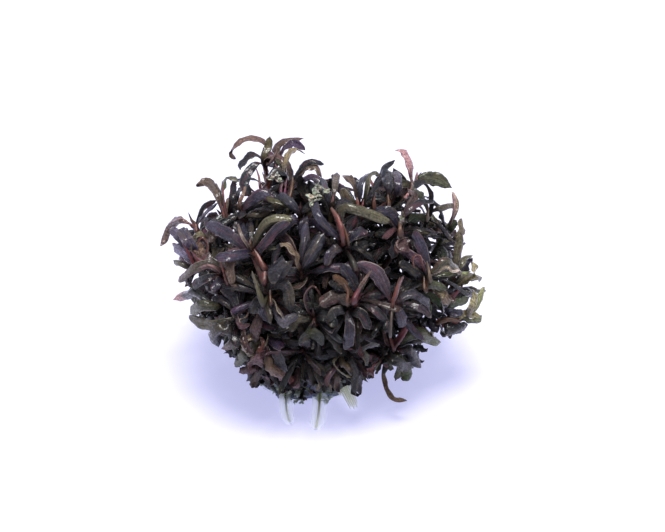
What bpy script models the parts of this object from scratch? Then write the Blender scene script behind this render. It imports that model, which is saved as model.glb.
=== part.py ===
"""A small cushion-shaped clump of bucephalandra, an aquarium plant, lifted out of the water.

A flat-bottomed mat of rhizome and felted root stands on the floor. Leafy shoots rise from it and
fan out to one domed canopy, and a few roots with sleeves of fine hair lie along the floor.
Metres, +Z up, origin in the middle of the flat bottom. The near side is -Y.

The leaves of the near side follow the photograph. They are read in its pixels, each leaf from its
base to its tip, and laid on the canopy along the line of sight. The far side has whorls of leaves
of the same kind, spread evenly.
"""

import math
import random

import bmesh
import bpy
from mathutils import Matrix, Vector, noise
from mathutils.bvhtree import BVHTree
from mathutils.geometry import intersect_ray_tri

MM = 0.001
GOLDEN_ANGLE = math.radians(137.5)

# Driving dimensions
CANOPY_CENTRE = Vector((7, 8, 50)) * MM
CANOPY_RADII = Vector((67, 56, 47)) * MM
MAT_CENTRE = Vector((1, 1, 0)) * MM
MAT_RADII = Vector((24, 22, 12.5)) * MM
MAT_RELIEF = 2.2 * MM
GAP = 0.3 * MM
FLOOR_CLEARANCE = 2.5 * MM

CROWN_DEPTH = 9 * MM
STEM_FOOT_RADIUS = 1.6 * MM
STEM_TOP_RADIUS = 1.15 * MM
STEM_SIDES = 3
STEM_BUD = 1.6 * MM
STEM_BEND = 0.5
LEAF_SLOTS = 8
LEAF_SPACING = 1.6 * MM
PETIOLE_WIDTH = 0.95 * MM
KEEL_DEPTH = 0.75 * MM
WHORL_LEAF_LENGTH = 20 * MM
WHORL_LEAF_WIDTH = 5.2 * MM
LEAVES_A_SHOOT = 7
FAR_SHOOTS = 19
CROWN_PLACES = 240
LOWEST_CROWN = 17 * MM
NUDGE = 1.2 * MM
LEAST_SPLAY = 0.1 * MM
ROOT_HEIGHT = 0.53

# Shares of a leaf's length, with how much of its full width it has there
READ_LEAF = ((0.28, 0.32), (0.50, 1.0), (0.77, 0.76))
WHORL_LEAF = ((0.42, 0.95), (0.74, 0.80))

# How the photograph was taken, to turn a pixel of it into a line of sight
PHOTO_CENTRE = (332.5, 266.0)
FOCAL_PIXELS = 1744
EYE_DISTANCE = 0.75
VIEW_TILT = math.radians(34)
AIM = Vector((11.8, 25.0, 37.1)) * MM
PIXEL = EYE_DISTANCE / FOCAL_PIXELS

VIEW_RIGHT = Vector((1, 0, 0))
VIEW_UP = Vector((0, math.sin(VIEW_TILT), math.cos(VIEW_TILT)))
VIEW_IN = Vector((0, math.cos(VIEW_TILT), -math.sin(VIEW_TILT)))
EYE = AIM - VIEW_IN * EYE_DISTANCE

# Colour, as linear RGB, and roughness of each leaf tone
TONES = {
    "violet": ((0.060, 0.050, 0.075), 0.38),
    "grey": ((0.070, 0.068, 0.070), 0.40),
    "dark": ((0.022, 0.020, 0.022), 0.35),
    "brown": ((0.120, 0.080, 0.060), 0.42),
    "olive": ((0.110, 0.105, 0.055), 0.42),
    "green": ((0.060, 0.085, 0.035), 0.42),
    "tan": ((0.200, 0.150, 0.110), 0.45),
    "straw": ((0.190, 0.160, 0.080), 0.45),
    "rose": ((0.170, 0.070, 0.070), 0.40),
    "red": ((0.230, 0.060, 0.045), 0.38),
    "pink": ((0.450, 0.220, 0.200), 0.42),
}
MAT_FINISH = ((0.140, 0.160, 0.140), 0.9)
ROOT_FINISH = ((0.480, 0.520, 0.470), 0.7)

# Shoots of the near side: name, pixel of the crown, tone of the stem, then for each leaf the pixels
# that it passes from base to tip, its width in pixels and its tone
NEAR_SHOOTS = (
    ("top_left", (264, 160), "red", (
        (((267, 155), (265, 145), (252, 139), (238, 145), (232, 153), (236, 159)), 7, "brown"),
        (((264, 158), (268, 147), (270, 136)), 9, "olive"),
        (((263, 160), (253, 155), (243, 163), (240, 170)), 8, "green"),
        (((258, 163), (250, 170), (244, 183), (250, 196)), 10, "grey"),
        (((266, 159), (280, 157), (288, 168), (290, 184)), 8, "brown"),
        (((277, 157), (276, 147), (284, 141), (304, 138)), 8, "brown"),
        (((280, 157), (285, 149), (293, 143), (305, 150)), 7, "violet"),
    )),
    ("top_mid", (286, 181), "red", (
        (((284, 176), (287, 160), (295, 150), (305, 154)), 5, "straw"),
        (((287, 175), (276, 167), (266, 178)), 7, "dark"),
        (((292, 180), (303, 164), (312, 160), (324, 164)), 6, "dark"),
        (((294, 181), (305, 168), (316, 166), (322, 178)), 7, "brown"),
        (((294, 186), (304, 178), (314, 176), (326, 187)), 8, "violet"),
        (((294, 187), (304, 186), (311, 198)), 9, "grey"),
    )),
    ("crest_left", (222, 216), "brown", (
        (((222, 212), (217, 193), (207, 182), (196, 186)), 9, "brown"),
        (((225, 214), (228, 198)), 5, "tan"),
        (((223, 205), (224, 182), (232, 178), (241, 183)), 6, "olive"),
        (((230, 208), (232, 196), (234, 182)), 7, "dark"),
    )),
    ("shoulder_left", (195, 226), "red", (
        (((194, 226), (180, 219), (167, 226), (160, 246)), 8, "brown"),
        (((196, 222), (203, 205), (216, 200)), 6, "dark"),
        (((198, 224), (207, 212), (218, 203)), 8, "violet"),
        (((196, 230), (186, 236), (182, 248)), 8, "grey"),
    )),
    ("left_upper", (194, 265), "red", (
        (((192, 260), (184, 243), (171, 228)), 9, "violet"),
        (((191, 262), (181, 251), (172, 243)), 10, "rose"),
        (((190, 266), (181, 262), (173, 260)), 6, "olive"),
        (((196, 262), (190, 246), (198, 235), (210, 241)), 6, "straw"),
    )),
    ("left_mid", (222, 276), "red", (
        (((221, 272), (208, 264), (192, 270), (178, 281)), 10, "olive"),
        (((218, 276), (205, 279), (193, 287)), 8, "dark"),
        (((221, 279), (212, 291)), 9, "violet"),
        (((222, 270), (232, 262), (243, 266)), 8, "violet"),
    )),
    ("left_low", (222, 298), "brown", (
        (((210, 302), (192, 293), (184, 295), (173, 300)), 11, "grey"),
        (((222, 285), (231, 296), (238, 308)), 11, "dark"),
        (((216, 306), (200, 306), (190, 314)), 11, "green"),
    )),
    ("left_cup", (241, 314), "grey", (
        (((238, 316), (220, 324), (205, 324), (189, 317)), 12, "olive"),
        (((241, 311), (240, 298), (239, 286)), 5, "violet"),
        (((245, 312), (236, 318), (240, 326), (250, 324)), 9, "tan"),
        (((236, 310), (222, 300), (212, 298)), 9, "violet"),
    )),
    ("mid_left", (251, 250), "red", (
        (((250, 247), (243, 236), (238, 223)), 4, "tan"),
        (((249, 250), (238, 250), (227, 251)), 4, "pink"),
        (((252, 256), (243, 254), (231, 262), (232, 285)), 8, "brown"),
        (((247, 250), (230, 236), (206, 223)), 13, "violet"),
        (((248, 253), (232, 256), (214, 258)), 10, "violet"),
        (((254, 245), (262, 229), (272, 221), (293, 220)), 10, "olive"),
        (((258, 252), (268, 240), (278, 228), (290, 222)), 9, "violet"),
    )),
    ("upper_left", (243, 212), "brown", (
        (((243, 210), (252, 200), (264, 194), (275, 202)), 11, "violet"),
        (((240, 206), (244, 195), (246, 186)), 6, "tan"),
        (((238, 216), (228, 222), (218, 232)), 9, "dark"),
        (((248, 216), (262, 214), (276, 206), (288, 206)), 7, "olive"),
    )),
    ("upper_mid", (300, 215), "brown", (
        (((298, 212), (290, 202), (280, 192)), 9, "grey"),
        (((303, 212), (312, 204), (318, 196)), 9, "dark"),
        (((304, 218), (304, 231), (308, 243)), 9, "violet"),
        (((297, 219), (285, 226), (278, 238)), 10, "violet"),
    )),
    ("centre", (300, 268), "brown", (
        (((298, 268), (297, 256), (289, 246), (280, 243)), 4, "tan"),
        (((304, 266), (314, 250), (324, 233)), 11, "grey"),
        (((302, 258), (305, 240), (307, 222)), 10, "violet"),
        (((296, 272), (286, 270), (274, 262)), 9, "dark"),
    )),
    ("mid_stem", (343, 242), "red", (
        (((342, 236), (338, 222), (331, 208)), 7, "red"),
        (((341, 211), (352, 209), (365, 212), (391, 222)), 10, "brown"),
        (((338, 238), (326, 226), (316, 212), (314, 198)), 8, "violet"),
        (((347, 240), (358, 232), (368, 232)), 9, "dark"),
        (((340, 247), (330, 254), (326, 266)), 9, "violet"),
    )),
    ("upper_right_stem", (359, 204), "red", (
        (((357, 198), (352, 182), (343, 175)), 5, "brown"),
        (((359, 199), (361, 181), (369, 173)), 6, "grey"),
        (((363, 200), (373, 190), (384, 169), (395, 160)), 5, "dark"),
        (((354, 204), (346, 198), (342, 188)), 9, "olive"),
        (((364, 192), (367, 176), (376, 171), (381, 177)), 4, "olive"),
    )),
    ("top_pair", (332, 206), "olive", (
        (((333, 202), (335, 187), (337, 172)), 9, "brown"),
        (((329, 203), (325, 190), (321, 177)), 7, "grey"),
        (((336, 206), (345, 202), (352, 208)), 8, "dark"),
    )),
    ("right_pair", (390, 200), "brown", (
        (((389, 193), (388, 182), (386, 169)), 10, "grey"),
        (((396, 194), (398, 182), (397, 171)), 8, "violet"),
        (((386, 202), (374, 200), (364, 206)), 9, "dark"),
    )),
    ("right_bud", (402, 224), "red", (
        (((403, 218), (408, 210), (418, 203), (434, 200)), 8, "grey"),
        (((404, 214), (414, 198), (408, 190), (396, 196)), 9, "brown"),
        (((399, 224), (390, 212), (373, 212)), 10, "violet"),
        (((402, 220), (402, 210)), 5, "tan"),
    )),
    ("right_top", (413, 186), "pink", (
        (((412, 182), (411, 168), (408, 157), (403, 150), (395, 150)), 7, "pink"),
        (((416, 184), (424, 178), (438, 180), (452, 188)), 13, "brown"),
        (((415, 181), (417, 172)), 4, "pink"),
        (((409, 186), (400, 184), (392, 180)), 8, "olive"),
    )),
    ("far_right_top", (430, 216), "green", (
        (((431, 212), (442, 205), (459, 203)), 6, "olive"),
        (((430, 207), (428, 190), (421, 183), (415, 190)), 7, "dark"),
        (((427, 218), (418, 216), (408, 222)), 9, "green"),
    )),
    ("far_right", (448, 230), "green", (
        (((444, 222), (440, 208), (432, 200)), 6, "dark"),
        (((451, 220), (456, 206), (452, 192)), 6, "tan"),
        (((450, 228), (456, 220)), 9, "green"),
        (((456, 240), (462, 232), (462, 218)), 8, "olive"),
    )),
    ("right_mauve", (393, 303), "red", (
        (((390, 300), (380, 277), (368, 268), (354, 263)), 13, "rose"),
        (((394, 300), (398, 287), (404, 275)), 5, "pink"),
        (((387, 300), (384, 314), (388, 332)), 11, "violet"),
        (((397, 308), (402, 318), (403, 328)), 11, "violet"),
        (((398, 302), (408, 295), (420, 297), (430, 311)), 12, "grey"),
    )),
    ("centre_red", (358, 297), "red", (
        (((353, 296), (344, 284), (332, 275)), 7, "brown"),
        (((357, 290), (350, 276), (341, 263)), 12, "violet"),
        (((360, 290), (366, 280), (372, 270)), 5, "tan"),
        (((351, 301), (335, 297), (319, 306)), 12, "tan"),
    )),
    ("right_spear", (428, 276), "olive", (
        (((427, 272), (423, 252), (414, 231)), 10, "violet"),
        (((431, 272), (446, 261), (462, 273)), 10, "olive"),
        (((425, 284), (435, 285), (447, 290)), 8, "green"),
        (((428, 274), (427, 262)), 4, "tan"),
        (((422, 268), (412, 256), (398, 248)), 10, "rose"),
    )),
    ("right_fan", (455, 288), "red", (
        (((452, 284), (465, 273), (482, 277)), 8, "olive"),
        (((455, 270), (458, 252), (461, 232)), 8, "olive"),
        (((456, 268), (463, 257), (473, 255)), 7, "olive"),
        (((460, 283), (474, 274), (471, 262)), 5, "straw"),
        (((460, 290), (470, 291), (478, 298)), 8, "dark"),
    )),
    ("right_low_fan", (450, 318), "red", (
        (((460, 319), (476, 310), (482, 298), (485, 287)), 6, "olive"),
        (((457, 318), (469, 314), (481, 316)), 8, "brown"),
        (((440, 320), (449, 317), (462, 321)), 5, "red"),
        (((448, 326), (458, 329), (468, 325)), 10, "dark"),
        (((444, 314), (434, 312), (430, 322), (437, 333)), 9, "violet"),
    )),
    ("right_low", (394, 345), "red", (
        (((399, 342), (410, 335), (422, 333), (441, 342)), 12, "olive"),
        (((394, 340), (402, 330), (412, 320)), 5, "red"),
        (((398, 349), (410, 352), (421, 368)), 12, "violet"),
        (((399, 357), (401, 370), (395, 381)), 10, "olive"),
        (((388, 342), (385, 333), (384, 325)), 4, "pink"),
    )),
    ("right_trail", (385, 356), "brown", (
        (((384, 360), (382, 378), (388, 396), (397, 402), (407, 401)), 7, "brown"),
        (((381, 352), (370, 340), (360, 339), (352, 352)), 9, "violet"),
        (((379, 358), (370, 365), (372, 378)), 8, "red"),
    )),
    ("front_low", (348, 350), "brown", (
        (((341, 358), (348, 369), (353, 377)), 9, "straw"),
        (((345, 352), (329, 350), (333, 343), (341, 348)), 7, "grey"),
        (((352, 358), (358, 376), (356, 395)), 9, "dark"),
        (((353, 348), (363, 354), (368, 366)), 9, "olive"),
    )),
    ("front_centre", (328, 366), "brown", (
        (((324, 366), (317, 372), (320, 386)), 8, "rose"),
        (((330, 370), (337, 378), (336, 390)), 8, "tan"),
        (((322, 362), (309, 362), (297, 346)), 8, "grey"),
    )),
    ("front_left", (262, 336), "brown", (
        (((261, 338), (254, 345), (247, 356)), 10, "straw"),
        (((264, 342), (262, 354), (254, 365)), 13, "rose"),
        (((268, 342), (278, 356), (283, 380)), 12, "grey"),
        (((270, 334), (279, 330), (288, 338)), 9, "dark"),
    )),
    ("left_bottom", (244, 338), "grey", (
        (((240, 336), (226, 329), (208, 327)), 11, "violet"),
        (((241, 341), (231, 342), (221, 349)), 8, "brown"),
        (((246, 346), (243, 356), (235, 367)), 9, "green"),
    )),
    ("bottom_left", (255, 366), "grey", (
        (((259, 366), (249, 370), (239, 373)), 9, "rose"),
        (((267, 367), (273, 377), (270, 388)), 10, "dark"),
        (((261, 369), (254, 380), (252, 388)), 8, "brown"),
    )),
    ("centre_left", (268, 296), "brown", (
        (((270, 292), (276, 284), (287, 288), (291, 313)), 11, "grey"),
        (((264, 292), (257, 284), (251, 273)), 8, "olive"),
        (((264, 299), (256, 304), (252, 314)), 10, "dark"),
    )),
    ("centre_low", (314, 316), "red", (
        (((314, 322), (310, 334), (303, 346)), 14, "violet"),
        (((308, 310), (305, 296), (313, 286), (321, 296)), 6, "red"),
        (((319, 316), (329, 318), (337, 328)), 10, "dark"),
        (((308, 317), (296, 320), (290, 332)), 9, "olive"),
    )),
    ("centre_right", (348, 308), "grey", (
        (((348, 314), (350, 331), (347, 350)), 10, "violet"),
        (((353, 311), (364, 316), (370, 330)), 10, "dark"),
        (((343, 310), (334, 312), (328, 322)), 9, "grey"),
    )),
)

# Roots along the floor: name, the points that its middle passes in millimetres, width of its sleeve
ROOTS = (
    ("root_front_left", ((-8, -20), (-7.2, -30), (-5.4, -36.6)), 6.2),
    ("root_front_right", ((6.6, -20), (6.0, -32), (4.8, -40.4)), 7.2),
    ("root_stub", ((13, -15), (18.4, -22.4), (21.4, -27.6)), 5.0),
    ("root_back_left", ((-15, 15), (-23.5, 21.5), (-27, 29)), 4.4),
    ("root_back_right", ((14, 18), (21, 27), (29, 30.5)), 4.8),
)

# Outline of the photographed clump without its stray leaves, clockwise in pixels
OUTLINE = (
    (176, 268), (184, 246), (182, 228), (196, 214), (206, 200), (222, 196), (226, 182), (240, 180),
    (244, 165), (262, 162), (272, 150), (284, 160), (290, 176), (302, 168), (322, 168), (328, 180),
    (340, 175), (350, 184), (362, 178), (378, 172), (396, 170), (406, 182), (424, 184), (434, 196),
    (446, 206), (456, 222), (464, 238), (468, 262), (478, 276), (482, 292), (478, 314), (466, 328),
    (452, 338), (438, 340), (420, 350), (414, 366), (402, 378), (388, 372), (374, 378), (360, 388),
    (350, 392), (336, 396), (310, 402), (284, 398), (262, 390), (248, 378), (236, 364), (222, 350),
    (214, 334), (200, 324), (190, 308), (184, 292), (180, 282),
)


def between(low, high, share):
    return low + (high - low) * share


def clamp(value, low, high):
    return max(low, min(high, value))


def sight(pixel):
    """The unit direction from the eye through a pixel of the photograph."""
    across = VIEW_RIGHT * (pixel[0] - PHOTO_CENTRE[0])
    up = VIEW_UP * (PHOTO_CENTRE[1] - pixel[1])
    return ((across + up) / FOCAL_PIXELS + VIEW_IN).normalized()


def photo_pixel(point):
    """The pixel of the photograph that a point would be seen at."""
    away = point - EYE
    scale = FOCAL_PIXELS / away.dot(VIEW_IN)
    return PHOTO_CENTRE[0] + away.dot(VIEW_RIGHT) * scale, PHOTO_CENTRE[1] - away.dot(VIEW_UP) * scale


def in_outline(point):
    """Whether a point would be seen inside the photographed outline."""
    x, y = photo_pixel(point)
    inside = False
    for (x0, y0), (x1, y1) in zip(OUTLINE, OUTLINE[1:] + OUTLINE[:1]):
        if (y0 > y) != (y1 > y) and x < x0 + (x1 - x0) * (y - y0) / (y1 - y0):
            inside = not inside
    return inside


def scaled(vector, radii):
    return Vector((vector.x / radii.x, vector.y / radii.y, vector.z / radii.z))


def canopy_distance(pixel, lift):
    """How far along its line of sight a pixel meets the canopy raised by lift, or passes it closest."""
    radii = CANOPY_RADII + Vector((lift, lift, lift))
    start = scaled(EYE - CANOPY_CENTRE, radii)
    step = scaled(sight(pixel), radii)
    nearest = -start.dot(step) / step.dot(step)
    spare = nearest**2 - (start.dot(start) - 1) / step.dot(step)
    return nearest - math.sqrt(max(spare, 0))


def along_sight(pixel, distance):
    return EYE + sight(pixel) * distance


def outward(point):
    """The canopy's outward direction at a point in it."""
    return scaled(scaled(point - CANOPY_CENTRE, CANOPY_RADII), CANOPY_RADII).normalized()


def smooth_path(points, count):
    """count points, evenly spaced along the Catmull-Rom curve through the given ones."""
    ends = [points[0] * 2 - points[1], *points, points[-1] * 2 - points[-2]]
    dense = []
    for before, start, stop, after in zip(ends, ends[1:], ends[2:], ends[3:]):
        for step in range(8):
            t = step / 8
            bend = (before * 2 - start * 5 + stop * 4 - after) * t * t
            twist = (start * 3 - before - stop * 3 + after) * t * t * t
            dense.append((start * 2 + (stop - before) * t + bend + twist) / 2)
    dense.append(points[-1].copy())
    reach = [0.0]
    for a, b in zip(dense, dense[1:]):
        reach.append(reach[-1] + (b - a).length)
    path, k = [], 0
    for i in range(count):
        goal = reach[-1] * i / (count - 1)
        while k < len(reach) - 2 and reach[k + 1] < goal:
            k += 1
        path.append(dense[k].lerp(dense[k + 1], (goal - reach[k]) / (reach[k + 1] - reach[k])))
    return path


def path_at(path, share):
    """The point and the unit tangent at a share, 0 to 1, of an evenly spaced path."""
    place = clamp(share, 0, 1) * (len(path) - 1)
    k = min(int(place), len(path) - 2)
    return path[k].lerp(path[k + 1], place - k), (path[k + 1] - path[k]).normalized()


class Leaf:
    """One leaf: its middle line from inside the stem to the tip, the way across it, width and tone."""

    def __init__(self, points, side, width, tone, stations):
        self.path = smooth_path(points, 25)
        self.side = side.normalized()
        self.width = width
        self.tone = tone
        self.stations = stations
        self.base = None

    def frame(self, share):
        """Middle, way across and upper side's normal at a share of the length."""
        middle, tangent = path_at(self.path, share)
        across = (self.side - tangent * self.side.dot(tangent)).normalized()
        return middle, across, across.cross(tangent)


class Shoot:
    """A stem, from foot to bud, and the leaves on it."""

    def __init__(self, name, stem, tone):
        self.name = name
        self.stem = stem
        self.tone = tone
        self.leaves = {}
        self.length = sum((b - a).length for a, b in zip(stem, stem[1:]))

    def share_below_bud(self, joints):
        """The share of the stem's length that lies below so many joints, counted from the bud."""
        return 1 - joints * LEAF_SPACING / self.length

    def joint(self, slot):
        """Where a slot's leaf leaves the stem, and the stem's way there. Slot 0 is the highest."""
        return path_at(self.stem, self.share_below_bud(slot + 0.5))

    def free_slots(self):
        return [slot for slot in range(LEAF_SLOTS) if slot not in self.leaves]


def tube_rings(path, stations, sides):
    """Rings of points round a path, without twist, at each station's share and radius."""
    _, tangent = path_at(path, 0)
    across = tangent.orthogonal().normalized()
    rings = []
    for share, radius in stations:
        middle, tangent = path_at(path, share)
        across = (across - tangent * across.dot(tangent)).normalized()
        turns = (Matrix.Rotation(math.tau * k / sides, 3, tangent) for k in range(sides))
        rings.append([middle + turn @ across * radius for turn in turns])
    return rings


def skin(rings, tip):
    """Points and faces of a closed solid over rings of equal size, flat at the first, pointed at tip."""
    sides = len(rings[0])
    points = [point for ring in rings for point in ring] + [tip]
    faces = [tuple(reversed(range(sides)))]
    for start in range(0, sides * (len(rings) - 1), sides):
        for k in range(sides):
            a, b = start + k, start + (k + 1) % sides
            faces.append((a, b, b + sides, a + sides))
    last = sides * (len(rings) - 1)
    faces += [(last + k, last + (k + 1) % sides, len(points) - 1) for k in range(sides)]
    return points, faces


def leaf_ring(leaf, station, margin=0.0):
    """A keeled section of a leaf: right edge, keel, left edge. margin grows it all round."""
    share, fullness = station
    middle, across, up = leaf.frame(share)
    half = max(leaf.width * fullness, PETIOLE_WIDTH) / 2 + 1.5 * margin
    keel = KEEL_DEPTH * between(1.15, 0.75, share) + margin
    face = middle + up * margin
    return [face + across * half, middle - up * keel, face - across * half]


def stem_rings(shoot, margin=0.0):
    """Rings round the stem: at its foot, at its bend, then one between each two joints."""
    shares = [0, STEM_BEND] + [shoot.share_below_bud(k) for k in range(LEAF_SLOTS, -1, -1)]
    stations = [(s, between(STEM_FOOT_RADIUS, STEM_TOP_RADIUS, s) + margin) for s in shares]
    return tube_rings(shoot.stem, stations, STEM_SIDES)


def bud_tip(shoot, margin=0.0):
    tip, tangent = path_at(shoot.stem, 1)
    return tip + tangent * (STEM_BUD + margin)


def stem_room(shoot, margin):
    return skin(stem_rings(shoot, margin), bud_tip(shoot, margin))


def least_twist(corners, ring):
    """The ring's points in the order that turns the corners least on the way there."""
    turns = [ring[k:] + ring[:k] for k in range(len(ring))]
    return min(turns, key=lambda turn: sum((a - b).length for a, b in zip(corners, turn)))


def leaf_base(shoot, slot, ring):
    """The half of one side of a joint's stretch of stem that lies nearest to a leaf's first ring."""
    rings = stem_rings(shoot)
    lower, upper = rings[-2 - slot], rings[-1 - slot]
    halves = []
    for k in range(STEM_SIDES):
        after = (k + 1) % STEM_SIDES
        halves.append((lower[k], lower[after], upper[after]))
        halves.append((upper[after], upper[k], lower[k]))
    return min(halves, key=lambda half: (sum(half, Vector()) - sum(ring, Vector())).length)


def leaf_stages(leaf, margin=0.0):
    """The leaf's rings outside the stem, all turned so that it doesn't twist."""
    first = leaf_ring(leaf, leaf.stations[0])
    turn = first.index(least_twist(leaf.base, first)[0])
    rings = [leaf_ring(leaf, station, margin) for station in leaf.stations]
    return [ring[turn:] + ring[:turn] for ring in rings]


def own_room(leaf, margin):
    """The space that a leaf takes on its own shoot, from just off the stem to its tip."""
    stages = leaf_stages(leaf, margin)
    collar = [a.lerp(b, 0.06) for a, b in zip(leaf.base, stages[0])]
    return skin([collar, *stages], leaf.path[-1])


def leaf_room(leaf, margin):
    """The space that a leaf takes among the other shoots, from inside its stem, grown by margin."""
    middle = sum(leaf.base, Vector()) / 3
    base = [point + (point - middle).normalized() * margin * 1.5 for point in leaf.base]
    tip, tangent = path_at(leaf.path, 1)
    return skin([base, *leaf_stages(leaf, margin)], tip + tangent * margin)


def extrude_to(bm, face, ring):
    """Extrudes a face, moves its corners to the ring's points and returns it."""
    made = bmesh.ops.extrude_discrete_faces(bm, faces=[face])["faces"][0]
    for vert, point in zip(made.verts, ring):
        vert.co = point
    return made


def point_end(bm, face, tip):
    """Draws the end face of an extrusion out to a point."""
    poked = bmesh.ops.poke(bm, faces=[face])
    poked["verts"][0].co = tip


def nearest(items, place):
    """The vertex or face that lies nearest to a place."""
    return min(items, key=lambda item: (centre(item) - place).length)


def centre(item):
    return item.co if isinstance(item, bmesh.types.BMVert) else item.calc_center_median()


def extrude_leaf(bm, leaf, sides):
    """Draws a leaf out of the half of a stem side that it grows from."""
    halfway = (leaf.base[0] + leaf.base[2]) / 2
    quad = nearest(sides, halfway)
    ends = [nearest(quad.verts, leaf.base[k]) for k in (0, 2)]
    rest, _ = bmesh.utils.face_split(quad, *ends)
    face = nearest((quad, rest), sum(leaf.base, Vector()) / 3)
    corners = [vert.co for vert in face.verts]
    stages = leaf_stages(leaf)
    turned = least_twist(corners, stages[0])
    turn = stages[0].index(turned[0])
    for ring in stages:
        face = extrude_to(bm, face, ring[turn:] + ring[:turn])
    point_end(bm, face, leaf.path[-1])


def shoot_mesh(shoot):
    """The shoot as one solid: its stem is extruded ring by ring, and each leaf out of the stem."""
    bm = bmesh.new()
    rings = stem_rings(shoot)
    foot = [bm.verts.new(point) for point in rings[0]]
    face = bm.faces.new(foot)
    segments = []
    for ring in rings[1:]:
        face = extrude_to(bm, face, ring)
        segments.append([side for edge in face.edges for side in edge.link_faces if side != face])
    bm.faces.new(reversed(foot))
    point_end(bm, face, bud_tip(shoot))
    for slot, leaf in shoot.leaves.items():
        extrude_leaf(bm, leaf, segments[-1 - slot])
    bmesh.ops.recalc_face_normals(bm, faces=bm.faces[:])
    bmesh.ops.triangulate(bm, faces=bm.faces[:])
    return bm


def pierces(edge, face):
    """Whether the straight line between an edge's ends passes through a triangle."""
    start, stop = (vert.co for vert in edge.verts)
    corners = [vert.co for vert in face.verts]
    hit = intersect_ray_tri(*corners, stop - start, start)
    return hit is not None and (hit - start).dot(stop - start) < (stop - start).length_squared


def crosses_itself(bm):
    """Whether a triangle of the mesh passes through another one. It frees the mesh."""
    bm.faces.ensure_lookup_table()
    tree = BVHTree.FromBMesh(bm)
    crossed = False
    for a, b in tree.overlap(tree):
        one, other = bm.faces[a], bm.faces[b]
        shared = set(one.verts) & set(other.verts)
        if a == b or len(shared) > 1:
            continue
        far = [edge for edge in one.edges if not shared & set(edge.verts)]
        crossed = crossed or not shared or any(pierces(edge, other) for edge in far)
    bm.free()
    return crossed




def tree_of(solid):
    return BVHTree.FromPolygons(*solid)


class Room:
    """The space that is taken, to keep shoots apart from each other and from the mat."""

    def __init__(self):
        self.taken = {}

    def take(self, owner, solid):
        self.taken.setdefault(owner, []).append(tree_of(solid))

    def is_free(self, owner, solid):
        if min(point.z for point in solid[0]) < FLOOR_CLEARANCE - GAP:
            return False
        wanted = tree_of(solid)
        trees = (tree for name, found in self.taken.items() if name != owner for tree in found)
        return not any(tree.overlap(wanted) for tree in trees)


def mat_height(mat_tree, x, y):
    hit, _, _, _ = mat_tree.ray_cast(Vector((x, y, 0.1)), Vector((0, 0, -1)))
    return hit.z if hit else 0.0


def stem_path(foot, crown, lean):
    """Up from the foot, then out to the crown, which it reaches along lean."""
    span = (crown - foot).length
    knee = foot + Vector((0, 0, 0.30 * span))
    neck = crown - lean * 0.30 * span
    return smooth_path([foot, foot.lerp(knee, 0.6), knee.lerp(neck, 0.5), neck, crown], 17)


def grow_stem(name, crown, tone, room, mat_tree, rng):
    """A shoot with its stem on the mat, below its crown. Tries other feet until the stem has room."""
    lean = (outward(crown) * 0.5 + Vector((0, 0, 0.5))).normalized()
    flat = Vector((crown.x - CANOPY_CENTRE.x, crown.y - CANOPY_CENTRE.y))
    reach = Vector((flat.x / CANOPY_RADII.x, flat.y / CANOPY_RADII.y))
    for attempt in range(160):
        spread = 0.80 + rng.uniform(-0.05, 0.05) * attempt**0.5
        x = MAT_CENTRE.x + reach.x * spread * MAT_RADII.x + rng.uniform(-1, 1) * attempt * 0.1 * MM
        y = MAT_CENTRE.y + reach.y * spread * MAT_RADII.y + rng.uniform(-1, 1) * attempt * 0.1 * MM
        heights = [
            mat_height(mat_tree, x + STEM_FOOT_RADIUS * dx, y + STEM_FOOT_RADIUS * dy)
            for dx in (-1, 0, 1)
            for dy in (-1, 0, 1)
        ]
        if min(heights) < 3 * MM:
            continue
        foot = Vector((x, y, max(heights) + 2 * GAP))
        sway = Vector((rng.uniform(-1, 1), rng.uniform(-1, 1), 0)) * 0.02 * attempt**0.5
        shoot = Shoot(name, stem_path(foot, crown, (lean + sway).normalized()), tone)
        if room.is_free(name, stem_room(shoot, GAP)) and not crosses_itself(shoot_mesh(shoot)):
            room.take(name, stem_room(shoot, 0))
            return shoot
    return None


def read_leaf(shoot, slot, pixels, width, tone, nudge):
    """A leaf that follows its pixels, at the depth of the canopy. nudge moves its tip along the sight."""
    joint, _ = shoot.joint(slot)
    crown_distance = (shoot.stem[-1] - EYE).length
    points = [joint]
    for i, pixel in enumerate(pixels):
        share = (i + 1) / len(pixels)
        lift = (4.0 * math.sin(math.pi * share) - 5.0 * (1 - share) - 1.5 * share) * MM
        flat = (along_sight(pixel, crown_distance) - shoot.stem[-1]).length
        slope = 3.5 * MM + 0.25 * flat
        distance = canopy_distance(pixel, lift)
        distance = clamp(distance, crown_distance - slope, crown_distance + slope)
        points.append(along_sight(pixel, distance + nudge * share))
    chord = points[-1] - points[0]
    middle = points[len(points) // 2]
    bow = middle - (points[0] + points[-1]) / 2
    bow -= VIEW_IN * bow.dot(VIEW_IN)
    bow -= chord * (bow.dot(chord) / chord.dot(chord))
    curl = clamp(bow.length / chord.length * 3.0, 0, 1)
    true_width = max(width * PIXEL, between(2.6, 4.2, curl) * MM)
    roll = math.acos(clamp(width * PIXEL / true_width, 0.35, 1))
    edge = bow.normalized() if bow.length > 0.2 * MM else outward(middle)
    facing = -VIEW_IN * math.cos(roll) + edge * math.sin(roll)
    return Leaf(points, chord.cross(facing), true_width, tone, READ_LEAF)


def whorl_leaf(shoot, slot, angle, length, width, rise, droop, tone):
    """A leaf that leaves the stem at rise from its axis and arches over to droop."""
    joint, axis = shoot.joint(slot)
    across = axis.orthogonal().normalized()
    radial = Matrix.Rotation(angle, 3, axis) @ across
    points = [joint]
    steps = 6
    for i in range(steps):
        turn = between(rise, droop, (i / (steps - 1)) ** 1.3)
        heading = axis * math.cos(turn) + radial * math.sin(turn)
        points.append(points[-1] + heading * length / steps)
    return Leaf(points, radial.cross(axis), width, tone, WHORL_LEAF)


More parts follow.
